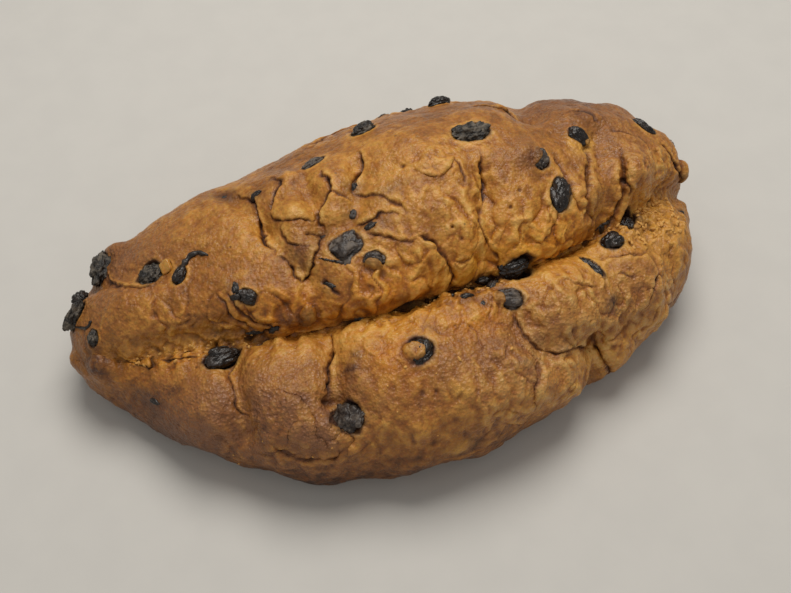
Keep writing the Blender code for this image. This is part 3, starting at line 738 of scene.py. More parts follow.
class Crust:
    """The whole crust as a net of points[station, row], from the front foot over the crease to the back
    foot. lift says how far each point has been moved outward, and looks how each place is coloured."""

    def __init__(self):
        front = np.linspace(0, 1, FRONT_ROWS)
        fold = np.interp(np.linspace(0, 1, FOLD_ROWS), (0, FACE_SHARE, 1), (0, 0.6, 1))
        rings = []
        for share in even_stations(ALONG_COUNT):
            ring = section(share, front, fold)
            taper = end_taper(share)
            nose_y, nose_z = nose_of(share)
            drop = min(nose_z * (1 - taper), BASE_REACH)
            foot = np.clip(1 - ring[:, 1] / nose_z, 0, 1)
            y = nose_y + taper * (ring[:, 0] - nose_y)
            z = nose_z + taper * (ring[:, 1] - nose_z) - drop * foot
            rings.append(np.stack([np.full(len(ring), share * HALF_LENGTH), y, z], axis=1))
        self.points = np.array(rings)
        steps = np.linalg.norm(np.diff(self.points, axis=1), axis=2)
        run = np.concatenate([np.zeros((len(rings), 1)), np.cumsum(steps, axis=1)], axis=1)
        self.over = run - run[:, CREASE_ROW, None]
        self.along = self.points[..., 0].copy()
        self.height = self.points[..., 2].copy()
        self.lift = np.zeros(self.over.shape)
        self.looks = {name: np.zeros(self.over.shape) for name in LOOKS}

    def normals(self):
        across = np.cross(np.gradient(self.points, axis=0), np.gradient(self.points, axis=1))
        return across / np.maximum(np.linalg.norm(across, axis=2, keepdims=True), 1e-9)

    def swell(self, rise, crease=0.01, foot=3.0):
        """Moves the crust outward by rise, fading out at the crease and at the foot."""
        fade = np.clip(np.abs(self.over) / crease, 0, 1) if crease > 0.5 else 1.0
        moved = rise * fade * np.clip(self.height / foot, 0, 1)
        self.points += moved[..., None] * self.normals()
        self.points[..., 2] = np.where(self.height <= 0, 0.0, np.maximum(self.points[..., 2], 0))
        self.lift += moved

    def darken(self, name, amount):
        self.looks[name] = np.maximum(self.looks[name], amount)

    def spot(self, along, over, reach_along, reach_over):
        """1 at this place, falling smoothly to 0 round it."""
        return np.exp(-(((self.along - along) / reach_along) ** 2) - ((self.over - over) / reach_over) ** 2)

    def share_of(self, places):
        """The sum of these spots, each with its own amount."""
        return sum(amount * self.spot(*place) for *place, amount in places)

    def place(self, along, over):
        """(point, outward normal, direction along the loaf) at this place on the crust."""
        station = int(np.argmin(np.abs(self.along[:, 0] - along)))
        row = int(np.argmin(np.abs(self.over[station] - over)))
        around = self.points[max(station - 2, 0) : station + 3, max(row - 2, 0) : row + 3]
        across = np.cross(around[-1, 0] - around[0, 0], around[0, -1] - around[0, 0])
        outward = Vector(across).normalized()
        heading = Vector((0, 1, 0)) if abs(outward.x) > 0.9 else Vector((1, 0, 0))
        heading = (heading - heading.dot(outward) * outward).normalized()
        return Vector(self.points[station, row]), outward, heading


class Fruit:
    """A piece of fruit of the frame: its middle, its three axes from long to thin, and its half sizes."""

    def __init__(self, name):
        corners = np.array([vert.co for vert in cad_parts[name].data.vertices]) / MM
        _, _, axes = np.linalg.svd(corners - corners.mean(0), full_matrices=False)
        spans = corners @ axes.T
        self.name = name
        self.axes = axes
        self.half = BURST.get(name, (0, 0, 1.0))[2] * (spans.max(0) - spans.min(0)) / 2
        self.middle = (spans.max(0) + spans.min(0)) / 2 @ axes

    def reach(self, way):
        """How far the fruit reaches from its middle in this direction."""
        return float(np.sqrt(((self.half * (self.axes @ way)) ** 2).sum()))


def press_in(crust, fruit):
    """Sinks the crust under a fruit, with a ragged rim round it, and pulls a skin of dough over its
    hooded side. Painted shade darkens the ring where the crust meets the fruit, the crust under it and the
    edge of the skin; a plum stain lies round it."""
    away = np.linalg.norm(crust.points - fruit.middle, axis=2)
    near = away < 2.2 * fruit.half[0] + 3
    normals = crust.normals()
    outward = normals[away < away.min() + 3.0].mean(0)
    outward /= np.linalg.norm(outward)
    long_way = fruit.axes[0] - fruit.axes[0] @ outward * outward
    long_way /= np.linalg.norm(long_way)
    cross_way = np.cross(outward, long_way)
    spots = crust.points[near]
    rel = spots - fruit.middle
    ragged = 0.11 * GRAIN.smooth(spots, 4.0) + 0.08 * GRAIN.smooth(spots, 1.7)
    square = BURST.get(fruit.name, (0, 2.0))[1]
    sides = np.abs(rel @ long_way / fruit.reach(long_way)), np.abs(rel @ cross_way / fruit.reach(cross_way))
    reach = fruit.reach(outward)
    level = reach + (fruit.middle - crust.points[away == away.min()][0]) @ outward  # how far it stands proud
    girth = sqrt(1 - min(max(0.0, 1 - level / reach), 0.8) ** 2)  # its share of full width at the crust
    out = (sides[0] ** square + sides[1] ** square) ** (1 / square) / girth + ragged
    rise = -SOCKET_DEPTH * min(max(level / 3, 0.35), 1) * (1 - smoothstep(out, 0.82, 1.0))
    rise = rise + SOCKET_RIM * np.exp(-(((out - 1.22) / 0.18) ** 2)) * (1 + 4 * ragged)
    # painted shade: a dark ring where the crust meets the fruit, and the crust under the fruit dark
    dark = 0.85 * np.exp(-(((out - 0.98) / 0.09) ** 2)) + (out < 0.9)
    stain = 0.7 * np.exp(-((np.clip(out - 1, 0, None) / 0.22) ** 2)) * (1 + 3 * ragged)
    turn, shift, size = HOODS.get(fruit.name, (0, 0, 0))
    if size:
        heading = np.array((1.0, 0, 0)) - outward[0] * outward
        heading /= np.linalg.norm(heading)
        ahead = cos(radians(turn)) * heading + sin(radians(turn)) * np.cross(outward, heading)
        aside = np.cross(outward, ahead)
        skin = np.hypot(rel @ ahead / fruit.reach(ahead) - shift, rel @ aside / fruit.reach(aside)) / size
        skin = skin + 1.2 * ragged
        hooded = 1 - smoothstep(skin, 0.70, 1.08)
        dome = (level + 0.85) * np.sqrt(np.clip(1.35 - out**2, 0, 1) / 1.35)
        rise = (1 - hooded) * rise + hooded * dome
        shows = FILMS.get(fruit.name, 0.0)
        film = shows * np.clip(0.9 + 0.9 * GRAIN.rough(spots + 20, 3.0, 3), 0, 1)
        # the raisin showing dark through the film, and painted shade along the edge of the skin
        dark = dark * (1 - hooded) + film * hooded * (1 - smoothstep(out, 0.8, 1.15))
        dark = np.maximum(dark, 0.7 * np.exp(-(((skin - 0.98) / 0.09) ** 2)) * (out < 1.0))
        stain = np.maximum(stain * (1 - hooded), (0.35 + 0.5 * shows) * hooded * (out < 1.1))
    total = np.zeros(crust.over.shape)
    total[near] = rise
    crust.swell(total, foot=1.0)
    for look, amount in (("dark", dark), ("plum", stain)):
        shade = np.zeros(crust.over.shape)
        shade[near] = np.clip(amount, 0, 0.95)
        crust.darken(look, shade)


def split_open(crust, path, half_width, depth, lip, shade):
    """Cuts a sharp split, with one side standing higher than the other, and paints shade along its bottom."""
    marks = np.array(path, float)
    low, high = marks.min(0) - 12, marks.max(0) + 12
    along, over = crust.torn[..., 0], crust.torn[..., 1]
    near = (along > low[0]) & (along < high[0]) & (over > low[1]) & (over < high[1])
    away, signed, share = near_path(along[near], over[near], marks)
    ragged = 1 + 0.7 * GRAIN.rough(crust.points[near] + 33, 5.0, 2)
    ends = np.clip(np.minimum(share, 1 - share) / 0.2, 0, 1) ** 0.6 * np.clip(ragged, 0.35, 1.3)
    groove = np.exp(-((away / (half_width * ragged.clip(0.5, 1.6))) ** 1.3)) * ends
    raised = signed * np.sign(lip)
    flap = np.exp(-np.clip(raised, 0, None) / (2.0 + 1.6 * half_width)) * smoothstep(raised, -0.2, 0.6)
    far = np.exp(-((away / 9.0) ** 4))
    rise = np.zeros(crust.over.shape)
    rise[near] = abs(lip) * flap * ends * far - depth * groove
    crust.swell(rise)
    # painted shade along the bottom of the split
    dark = np.zeros(crust.over.shape)
    dark[near] = shade * np.exp(-((away / (0.5 * half_width + 0.2)) ** 2)) * ends
    crust.darken("dark", dark)
    # browner crust beside the split, on its lower side
    stain = np.zeros(crust.over.shape)
    stain[near] = 0.32 * shade * np.exp(-((away / (1.2 + half_width)) ** 2)) * ends * (raised < 0.3)
    crust.stain = np.maximum(crust.stain, stain)


def shape_form(crust):
    """The swellings and valleys of the loaf, and the wandering line of its foot."""
    rise = np.zeros(crust.over.shape)
    for along, over, reach_along, reach_over, swell in SWELLINGS:
        rise += swell * crust.spot(along, over, reach_along, reach_over)
    for start, end, half_width, depth in VALLEYS:
        start, run = np.array(start, float), np.subtract(end, start).astype(float)
        from_start = np.stack([crust.along, crust.over], axis=-1) - start
        share = np.clip(from_start @ run / (run @ run), 0, 1)
        away = np.linalg.norm(from_start - share[..., None] * run, axis=-1)
        rise -= depth * np.exp(-((away / half_width) ** 2))
    crust.swell(rise, crease=CREASE_BAND, foot=SOFT_FOOT)
    side = np.sign(crust.over)
    edge = side * (1 - end_share(crust.along)) * np.clip(1 - crust.height / FOOT_BAND, 0, 1)
    wander = np.sin(crust.along / 11.0) + 0.7 * np.sin(crust.along / 5.3 + 1.0 + side)
    crust.points[..., 1] += FOOT_WANDER * edge * wander
    low = (crust.over < 0) * np.clip(1 - crust.height / FOOT_BAND, 0, 1)
    for along, reach, inward in DRAWN_IN:
        crust.points[..., 1] += inward * low * np.exp(-(((crust.along - along) / reach) ** 2))


def soften_crease(crust):
    """Fills the crease towards both ends, where the fold and the front lobe have baked together."""
    reach = 40
    kernel = np.exp(-((np.arange(-reach, reach + 1) / (0.35 * reach)) ** 2))
    kernel /= kernel.sum()
    rows = slice(CREASE_ROW - 2 * reach, CREASE_ROW + 2 * reach + 1)
    band = crust.points[:, rows]
    padded = np.pad(band, ((0, 0), (reach, reach), (0, 0)), mode="edge")
    level = sum(weight * padded[:, k : k + band.shape[1]] for k, weight in enumerate(kernel))
    middle = smoothstep(crust.along, -74, -44) * (1 - smoothstep(crust.along, 84, 104))
    share = ((1 - 0.22 * middle) * np.exp(-((crust.over / (12.0 - 3.0 * middle)) ** 4)))[:, rows]
    crust.points[:, rows] += share[..., None] * (level - band)


def crinkles(base):
    """Height of the crumpled skin: hollows between sharp raised edges, and a few crisp creases."""
    bend = np.stack([GRAIN.smooth(base + shift, 7.0) for shift in (400, 500, 600)], axis=-1)
    drawn = base * (1.0, 0.72, 0.72) + 2.6 * bend
    height = 2.1 * np.clip(GRAIN.cells(drawn, 9.0)[0] ** 2 - 0.2, -0.2, 0.5)
    height += 0.9 * np.clip(GRAIN.cells(drawn + 77, 4.4)[0] ** 2 - 0.2, -0.2, 0.5)
    for size, depth in ((13.0, -0.8), (7.0, -0.35)):
        height = height + depth * GRAIN.ridges(drawn + 40 * size, size) ** 7
    return height


def shape_relief(crust, fruits, relief, grain):
    """The splits, flaps, sockets, crinkles and the pebbly skin of the crust."""
    base = crust.points.copy()
    lumps = GRAIN.rough(base, 24.0, 3)
    crust.swell(relief * 0.9 * lumps, crease=5.0, foot=6.0)
    knobs = GRAIN.rough(base + 70, 8.0, 3) * (crust.over < 0)
    crust.swell(relief * 0.35 * knobs, crease=5.0, foot=6.0)
    hems = np.exp(-((crust.over / 11.0) ** 2)) * GRAIN.rough(base * (1, 0.7, 0.7) + 150, 11.0, 2)
    crust.swell(relief * 2.4 * hems)
    warp_along = 1.3 * GRAIN.smooth(base + 50, 9.0) + 0.8 * GRAIN.smooth(base + 90, 3.0)
    warp_over = 1.3 * GRAIN.smooth(base - 50, 9.0) + 0.8 * GRAIN.smooth(base - 90, 3.0)
    crust.torn = np.stack([crust.along + warp_along, crust.over + warp_over], axis=-1)
    crust.stain = np.zeros(crust.over.shape)
    for path, half_width, depth, lip, shade in SPLITS:
        split_open(crust, path, half_width, relief * depth, relief * lip, shade)
    for along, over, radius, height, shade in DIMPLES:
        spot = crust.spot(along, over, radius, radius)
        crust.swell(relief * height * spot)
        # painted shade in a hollow; on a rise, a darker tint
        crust.darken("dark", shade * spot**1.5)
    for fruit in fruits:
        press_in(crust, fruit)
    open_skin = 1 - np.clip(1.4 * crust.looks["dark"], 0, 1)
    wrinkled = np.clip(0.22 + crust.share_of(WRINKLED), 0, 1.1)
    wrinkled = wrinkled * np.clip(0.9 + 0.9 * GRAIN.rough(base + 800, 16.0, 2), 0.15, 1.5)
    wrinkled = wrinkled * (1 - np.clip(crust.share_of(SMOOTH), 0, 0.9))
    crust.swell(relief * crinkles(base) * wrinkled * open_skin)
    crumbly = np.clip(crust.share_of(CRUMBLY) * (1 + 0.8 * GRAIN.rough(base + 60, 7.0, 2)), 0, 1.2)
    crumbs = 0.5 - GRAIN.cells(base, 4.4)[0] + 0.6 * GRAIN.rough(base + 10, 3.2, 3)
    crust.swell(relief * 2.1 * crumbs * crumbly * open_skin)
    # painted shade in the pits of the torn dough
    crust.darken("dark", 0.7 * crumbly * smoothstep(-crumbs, 0.2, 0.7))
    pebbles = 1 - GRAIN.cells(base, 1.6)[0]
    fine = 0.35 * pebbles + 0.65 * GRAIN.rough(base, 2.6, 2)
    crust.swell(grain * 0.24 * fine * (0.35 + 0.65 * open_skin))


def paint(crust):
    """How brown, rosy, crumbly, stained and dark the crust is at each place, with painted shade in its
    hollows and towards its foot.
    """
    base = crust.points
    hollow = np.clip((blurred(crust.lift, 5) - crust.lift) / 0.5, -1, 1)
    pillow = np.clip((blurred(crust.lift, 6) - blurred(crust.lift, 24)) / 1.2, -1, 1)
    hue = GRAIN.rough(base + 200, 30.0, 3)
    rising = np.clip(crust.height / 42.0, 0, 1)
    # browner at random, in the small hollows as painted shade, on raised pillows, towards the foot as the
    # crust's baking and as painted shade, and beside the splits on their lower side
    brown = 0.47 + 0.12 * hue + 0.26 * hollow + 0.05 * pillow + 0.42 * (1 - rising) ** 1.5 + 0.6 * crust.stain
    for along, over, reach_along, reach_over, look, amount in PATCHES:
        spot = crust.spot(along, over, reach_along, reach_over)
        if look == "brown":
            brown = brown + amount * spot
        else:
            crust.looks[look] = crust.looks[look] + amount * spot
    ragged = 1 + 0.6 * GRAIN.rough(base - 120, 9.0, 3)
    # honey in the hollows: butter pooled there, and painted shade
    crust.looks["honey"] += 0.5 * np.clip(hollow, 0, 1)
    for look in ("honey", "rosy", "crumb", "plum", "dark"):
        crust.looks[look] = np.clip(crust.looks[look] * ragged, 0, 1)
    for along, over, length, *_ in BITS:
        crust.darken("plum", 0.7 * crust.spot(along, over, 0.7 * length, 0.7 * length))
    crust.looks["brown"] = np.clip(brown, 0, 1)


@lru_cache
def baked_crust(relief, grain):
    """The finished crust, worked out once for all its pieces."""
    crust = Crust()
    shape_form(crust)
    soften_crease(crust)
    crust.lift[:] = 0
    fruits = [Fruit(name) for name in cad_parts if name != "loaf"]
    shape_relief(crust, fruits, relief, grain)
    paint(crust)
    return crust


# ---------------------------------------------------------------- pieces


def mesh_from(name, points, faces):
    """A smooth mesh of points in millimetres."""
    mesh = bpy.data.meshes.new(name)
    mesh.from_pydata((np.asarray(points) * MM).tolist(), [], faces)
    mesh.update()
    mesh.shade_smooth()
    return mesh


def add_piece(name, mesh, material, nodes):
    """An object of this mesh that rides on the loaf's body, and hides these nodes of the frame."""
    piece = bpy.data.objects.new(name, mesh)
    mesh.materials.append(material)
    bpy.context.scene.collection.objects.link(piece)
    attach(piece, "root")
    if nodes:
        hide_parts(*nodes)
    return piece


def crust_piece(name, crust, first, last):
    """A closed solid under the crust rows from first to last, with plain walls inside the loaf."""
    points, normals = crust.points, crust.normals()
    rows = points[:, first : last + 1]
    start, end = rows[:, 0], rows[:, -1]
    core = (points[:, 0] + points[:, -1]) / 2
    near_end = smoothstep(np.abs(core[:, 0]), HALF_LENGTH - 18, HALF_LENGTH - 5)
    core = core - (np.sign(core[:, 0]) * WALL_DRAW * near_end)[:, None] * (1, 0, 0)
    corners = [end]
    if last < points.shape[1] - 1:
        corners.append(np.c_[core[:, 0], 0.4 * end[:, 1] + 0.6 * core[:, 1], core[:, 2]])
    if first > 0:
        corners.append(np.c_[core[:, 0], 0.4 * start[:, 1] + 0.6 * core[:, 1], core[:, 2]])
    corners.append(start)
    walls = []
    for near, far in zip(corners, corners[1:]):
        walls += [near + share * (far - near) for share in np.linspace(0, 1, WALL_STEPS + 1)[1:]]
    rings = np.concatenate([rows, np.stack(walls[:-1], axis=1)], axis=1)
    stations, count = rings.shape[:2]
    index = np.arange(stations * count).reshape(stations, count)
    after = np.roll(index, -1, axis=1)
    quads = np.stack([index[:-1], index[1:], after[1:], after[:-1]], axis=-1).reshape(-1, 4)
    tips = np.array([[stations * count], [stations * count + 1]]) + np.zeros((1, count), int)
    faces = quads.tolist()
    faces += np.stack([tips[0], index[0], after[0]], axis=-1).tolist()
    faces += np.stack([tips[1], after[-1], index[-1]], axis=-1).tolist()
    ends = [points[0].mean(0), points[-1].mean(0)]
    mesh = mesh_from(name, np.vstack([rings.reshape(-1, 3), ends]), faces)
    outward = np.zeros((stations, count, 3))
    outward[:, : last + 1 - first] = normals[:, first : last + 1]
    outward = np.vstack([outward.reshape(-1, 3), [(-1, 0, 0), (1, 0, 0)]])
    mesh.normals_split_custom_set_from_vertices(outward.tolist())
    for look in LOOKS:
        outer = crust.looks[look]
        back = np.linspace(0, 1, len(walls) + 1)[1:-1]
        inner = outer[:, last, None] * (1 - back) + outer[:, first, None] * back
        amount = np.concatenate([outer[:, first : last + 1], inner], axis=1)
        layer = mesh.attributes.new(look, "FLOAT", "POINT")
        tips_too = np.r_[amount.ravel(), outer[0].mean(), outer[-1].mean()]
        layer.data.foreach_set("value", tips_too.astype(np.float32))
    return add_piece(name, mesh, crust_finish(), ["loaf"])


@lru_cache
def ball(subdivisions):
    """Points and triangles of a round ball of radius 1."""
    model = bmesh.new()
    bmesh.ops.create_icosphere(model, subdivisions=subdivisions, radius=1.0)
    points = np.array([vert.co for vert in model.verts])
    faces = np.array([[vert.index for vert in face.verts] for face in model.faces])
    model.free()
    return points, faces


def shrivelled(half, axes, middle, seed, wrinkle, scorch, subdivisions, square=2.0):
    """A dried berry: an ellipsoid with lengthwise folds, dents and, if it is scorched, a jagged skin."""
    unit, faces = ball(subdivisions)
    moved = unit + 11.3 * seed
    grooves = SKIN.ridges(moved * (0.42, 1, 1) + 0.10 * SKIN.smooth(moved, 0.7)[:, None], 0.62) ** 1.6
    veins = SKIN.ridges(moved * (0.6, 1, 1) + 70, 0.30) ** 2
    size = 1.05 + 0.13 * SKIN.smooth(moved + 30, 1.0) - wrinkle * grooves - 0.4 * wrinkle * veins
    size += scorch * 0.10 * SKIN.rough(moved + 50, 0.42, 3)
    taper = 1 - 0.16 * unit[:, 0] * np.sign(sin(7.0 * seed + 1))
    flat = unit * np.stack([np.ones(len(unit)), taper, taper], axis=1)
    sides = np.abs(unit[:, :2])
    squared = np.maximum((sides**square).sum(1) ** (1 / square), 1e-6)
    flat[:, :2] *= ((sides**2).sum(1) ** 0.5 / squared)[:, None]
    return middle + (flat * half * size[:, None]) @ axes, faces


def shred(crust, path, thick, thin):
    """A thin tapering shred that lies along the crust."""
    turns = np.linspace(0, 2 * pi, 12, endpoint=False)
    line = curve_through(path, np.linspace(0, 1, 22))
    marks = np.array([(*crust.place(*spot)[0], *crust.place(*spot)[1]) for spot in line])
    middles, outward = marks[:, :3], marks[:, 3:]
    ahead = np.gradient(middles, axis=0)
    ahead /= np.linalg.norm(ahead, axis=1, keepdims=True)
    aside = np.cross(outward, ahead)
    share = np.linspace(0, 1, len(line))
    radius = 0.5 * (thick + share * (thin - thick)) * np.clip(np.sin(pi * (0.06 + 0.88 * share)) * 2.2, 0, 1)
    radius *= 1 + 0.5 * SKIN.smooth(middles, 1.6)
    rings = [
        middles + radius[:, None] * (cos(turn) * aside + (0.25 + 0.8 * sin(turn)) * outward)
        for turn in turns
    ]
    points = np.stack(rings, axis=1).reshape(-1, 3)
    index = np.arange(len(points)).reshape(len(line), len(turns))
    after = np.roll(index, -1, axis=1)
    quads = np.stack([index[:-1], after[:-1], after[1:], index[1:]], axis=-1).reshape(-1, 4)
    faces = np.vstack([quads[:, [0, 1, 2]], quads[:, [0, 2, 3]]])
    first, last = len(points), len(points) + 1
    caps = [(first, after[0, k], index[0, k]) for k in range(len(turns))]
    caps += [(last, index[-1, k], after[-1, k]) for k in range(len(turns))]
    points = np.vstack([points, points[index[0]].mean(0), points[index[-1]].mean(0)])
    return points, np.vstack([faces, caps])


def joined(parts):
    """One list of points and one of faces from several."""
    offset, points, faces = 0, [], []
    for some_points, some_faces in parts:
        points.append(some_points)
        faces += (some_faces + offset).tolist()
        offset += len(some_points)
    return np.vstack(points), faces


def frame_at(along, over, turn, crust):
    """(point, axes) on the crust: long side turned from the loaf's length, cross side, outward."""
    point, outward, heading = baked_crust(crust.relief, crust.grain).place(along, over)
    aside = outward.cross(heading)
    long_side = cos(radians(turn)) * heading + sin(radians(turn)) * aside
    return np.array(point), np.array([long_side, outward.cross(long_side), outward])


# ---------------------------------------------------------------- finishes


def linear(red, green, blue):
    """A colour as the shaders take it, from the usual 0 to 255 values."""
    shares = [value / 255 for value in (red, green, blue)]
    return tuple(v / 12.92 if v <= 0.04045 else ((v + 0.055) / 1.055) ** 2.4 for v in shares)


class Finish:
    """A procedural material under construction."""

    def __init__(self, name, roughness, specular=0.5):
        self.material = bpy.data.materials.new(name)
        self.material.use_nodes = True
        self.tree = self.material.node_tree
        self.shader = self.tree.nodes["Principled BSDF"]
        self.shader.inputs["Roughness"].default_value = roughness
        self.shader.inputs["Specular IOR Level"].default_value = specular
        self.place = self.node("ShaderNodeTexCoord").outputs["Object"]

    def node(self, kind, **settings):
        made = self.tree.nodes.new(kind)
        for name, value in settings.items():
            setattr(made, name, value)
        return made

    def feed(self, socket, value):
        if isinstance(value, bpy.types.NodeSocket):
            self.tree.links.new(value, socket)
        elif isinstance(value, tuple) and len(value) == 3:
            socket.default_value = (*value, 1.0)
        else:
            socket.default_value = value

    def noise(self, size, detail=2.0, rough=0.5, bend=0.0):
        """From 0 to 1, with lumps of this size in metres."""
        made = self.node("ShaderNodeTexNoise")
        self.feed(made.inputs["Vector"], self.place)
        settings = {"Scale": 1 / size, "Detail": detail, "Roughness": rough, "Distortion": bend}
        for name, value in settings.items():
            made.inputs[name].default_value = value
        return made.outputs["Fac"]

    def cells(self, size, feature="F1"):
        made = self.node("ShaderNodeTexVoronoi", feature=feature)
        self.feed(made.inputs["Vector"], self.place)
        made.inputs["Scale"].default_value = 1 / size
        return made.outputs["Distance"]

    def layer(self, name):
        return self.node("ShaderNodeAttribute", attribute_name=name).outputs["Fac"]

    def math(self, operation, first, second=0.0, third=0.0):
        made = self.node("ShaderNodeMath", operation=operation)
        for socket, value in zip(made.inputs, (first, second, third)):
            self.feed(socket, value)
        return made.outputs[0]

    def span(self, value, low, high, new_low=0.0, new_high=1.0):
        """The value's place between low and high, as a place between the new ends."""
        made = self.node("ShaderNodeMapRange", interpolation_type="SMOOTHSTEP")
        for socket, given in zip(made.inputs, (value, low, high, new_low, new_high)):
            self.feed(socket, given)
        return made.outputs[0]

    def ramp(self, value, *stops):
        made = self.node("ShaderNodeValToRGB")
        self.feed(made.inputs[0], value)
        band = made.color_ramp
        while len(band.elements) < len(stops):
            band.elements.new(0.5)
        for element, (place, colour) in zip(band.elements, stops):
            element.position = place
            element.color = (*colour, 1.0)
        return made.outputs["Color"]

    def mix(self, share, under, top, blend="MIX"):
        made = self.node("ShaderNodeMix", data_type="RGBA", blend_type=blend)
        self.feed(made.inputs["Factor"], share)
        self.feed(made.inputs[6], under)
        self.feed(made.inputs[7], top)
        return made.outputs[2]

    def bump(self, height, depth, under=None):
        """Roughness of the surface, with this depth in metres."""
        made = self.node("ShaderNodeBump")
        made.inputs["Distance"].default_value = depth
        self.feed(made.inputs["Height"], height)
        if under:
            self.feed(made.inputs["Normal"], under)
        return made.outputs["Normal"]

    def finish(self, colour, roughness=None, normal=None):
        self.feed(self.shader.inputs["Base Color"], colour)
        if roughness is not None:
            self.feed(self.shader.inputs["Roughness"], roughness)
        if normal is not None:
            self.feed(self.shader.inputs["Normal"], normal)
        return self.material


# Light that the crust leaves of each colour: where it is strawy, where it is russet, and under butter
STRAW_TINT = (0.94, 1.0, 0.86)
RUSSET_TINT = (1.0, 0.88, 0.80)
HONEY_TINT = (1.0, 0.80, 0.31)


@lru_cache
def crust_finish():
    """Buttery crust: golden in the folds, brown where it stood out in the oven, with painted glints and
    painted shade in its splits and hollows.
    """
    crust = bpy.context.scene.stollen_crust
    skin = Finish("buttery_crust", 0.4, 0.36)
    mottle = skin.noise(0.007, 5, 0.6, 0.6)
    fine = skin.noise(0.0013, 4, 0.65)
    tone = skin.math("ADD", skin.layer("brown"), skin.span(mottle, 0.25, 0.75, -0.13, 0.13))
    tone = skin.math("ADD", tone, skin.span(fine, 0.3, 0.7, -0.07, 0.07))
    colour = skin.ramp(
        tone,
        (0.0, crust.pale[:3]),
        (0.26, crust.golden[:3]),
        (0.50, crust.amber[:3]),
        (0.76, crust.brown[:3]),
        (1.0, crust.deep[:3]),
    )
    warmth = skin.ramp(skin.noise(0.0022, 5, 0.75), (0.38, STRAW_TINT), (0.62, RUSSET_TINT))
    colour = skin.mix(1.0, colour, warmth, "MULTIPLY")
    colour = skin.mix(skin.layer("honey"), colour, HONEY_TINT, "MULTIPLY")
    blush = skin.math("MULTIPLY", skin.layer("rosy"), skin.span(skin.noise(0.004, 3), 0.25, 0.75, 0.6, 1.0))
    colour = skin.mix(blush, colour, crust.rosy[:3])
    torn = skin.span(skin.noise(0.003, 4, 0.7), 0.3, 0.65, 0.25, 1.0)
    crumbs = skin.math("MULTIPLY", skin.layer("crumb"), torn)
    colour = skin.mix(crumbs, colour, crust.crumb[:3])
    soaked = skin.span(skin.noise(0.0025, 4, 0.6), 0.3, 0.6, 0.5, 0.95)
    stain = skin.math("MULTIPLY", skin.layer("plum"), soaked)
    colour = skin.mix(stain, colour, crust.plum[:3])
    freckle = skin.span(skin.cells(0.0029), 0.10, 0.24, 0.16, 0.0)
    colour = skin.mix(freckle, colour, crust.deep[:3])
    speck = skin.span(skin.cells(0.011), 0.03, 0.07, 0.5, 0.0)
    colour = skin.mix(speck, colour, crust.split[:3])
    # painted glints: pale specks scattered over the crust
    glint = skin.span(skin.cells(0.0017), 0.08, 0.2, 0.22, 0.0)
    colour = skin.mix(glint, colour, crust.pale[:3])
    # painted shade: the dark look in the splits, pits and crease and round the fruit
    colour = skin.mix(skin.math("MULTIPLY", skin.layer("dark"), 0.95), colour, crust.split[:3])
    sheen = skin.span(skin.noise(0.008, 3), 0.3, 0.7, 0.28, 0.42)
    sheen = skin.math("ADD", sheen, skin.math("MULTIPLY", skin.layer("dark"), 0.5))
    grains = skin.bump(skin.noise(0.0024, 4, 0.65), 0.0006)
    pebbles = skin.math("MULTIPLY", skin.cells(0.0014), skin.math("ADD", skin.layer("rosy"), 0.5))
    grains = skin.bump(pebbles, 0.00050, grains)
    return skin.finish(colour, sheen, grains)


def raisin_finish(name, skin_colour, dust_colour, dust, roughness, grit):
    """Dried berry skin: near black in the grooves, with a greyish bloom on the folds."""
    skin = Finish(name, roughness, 0.5)
    cloud = skin.noise(0.0035, 4, 0.65, 0.5)
    fine = skin.noise(0.0008, 3, 0.6)
    share = skin.math("MULTIPLY", skin.span(cloud, 0.42, 0.68), dust)
    colour = skin.mix(share, skin_colour, dust_colour)
    colour = skin.mix(skin.span(fine, 0.55, 0.72, 0.0, 0.6 * dust), colour, dust_colour)
    gloss = skin.math("ADD", skin.math("MULTIPLY", share, 0.3), roughness)
    folds = skin.bump(skin.noise(0.0011, 4, 0.6), grit)
    return skin.finish(colour, gloss, folds)


# ---------------------------------------------------------------- settings


def colour_setting(name, description, *value):
    return FloatVectorProperty(
        name=name,
        description=description,
        default=(*linear(*value), 1.0),
        size=4,
        min=0.0,
        max=1.0,
        subtype="COLOR",
    )


class StollenCrust(bpy.types.PropertyGroup):
    """The crust of the loaf."""

    relief: FloatProperty(
        name="Relief",
        description="Strength of the splits, flaps and dimples; 1 is as baked",
        default=1.0,
        min=0.0,
        max=1.5,
        subtype="FACTOR",
    )
    grain: FloatProperty(
        name="Grain",
        description="Strength of the pebbly skin; 1 is as baked",
        default=1.0,
        min=0.0,
        max=2.0,
        subtype="FACTOR",
    )
    pale: colour_setting("Pale", "Least baked dough", 220, 172, 100)
    golden: colour_setting("Golden", "Lightly baked crust", 198, 141, 64)
    amber: colour_setting("Amber", "Crust baked just right", 162, 106, 45)
    brown: colour_setting("Brown", "Well baked crust", 120, 74, 33)
    deep: colour_setting("Deep brown", "Crust that stood out in the oven", 70, 41, 20)
    rosy: colour_setting("Rosy", "Crust stained by the fruit under it", 138, 94, 66)
    crumb: colour_setting("Crumb", "Torn dough inside a fold", 210, 156, 70)
    plum: colour_setting("Plum", "Dark juice of the raisins in the crust", 74, 44, 33)
    # the colour of the painted shade in the splits, pits and crease and round the fruit, and of the small
    # dark specks
    split: colour_setting("Split", "Bottom of the cracks", 44, 18, 8)


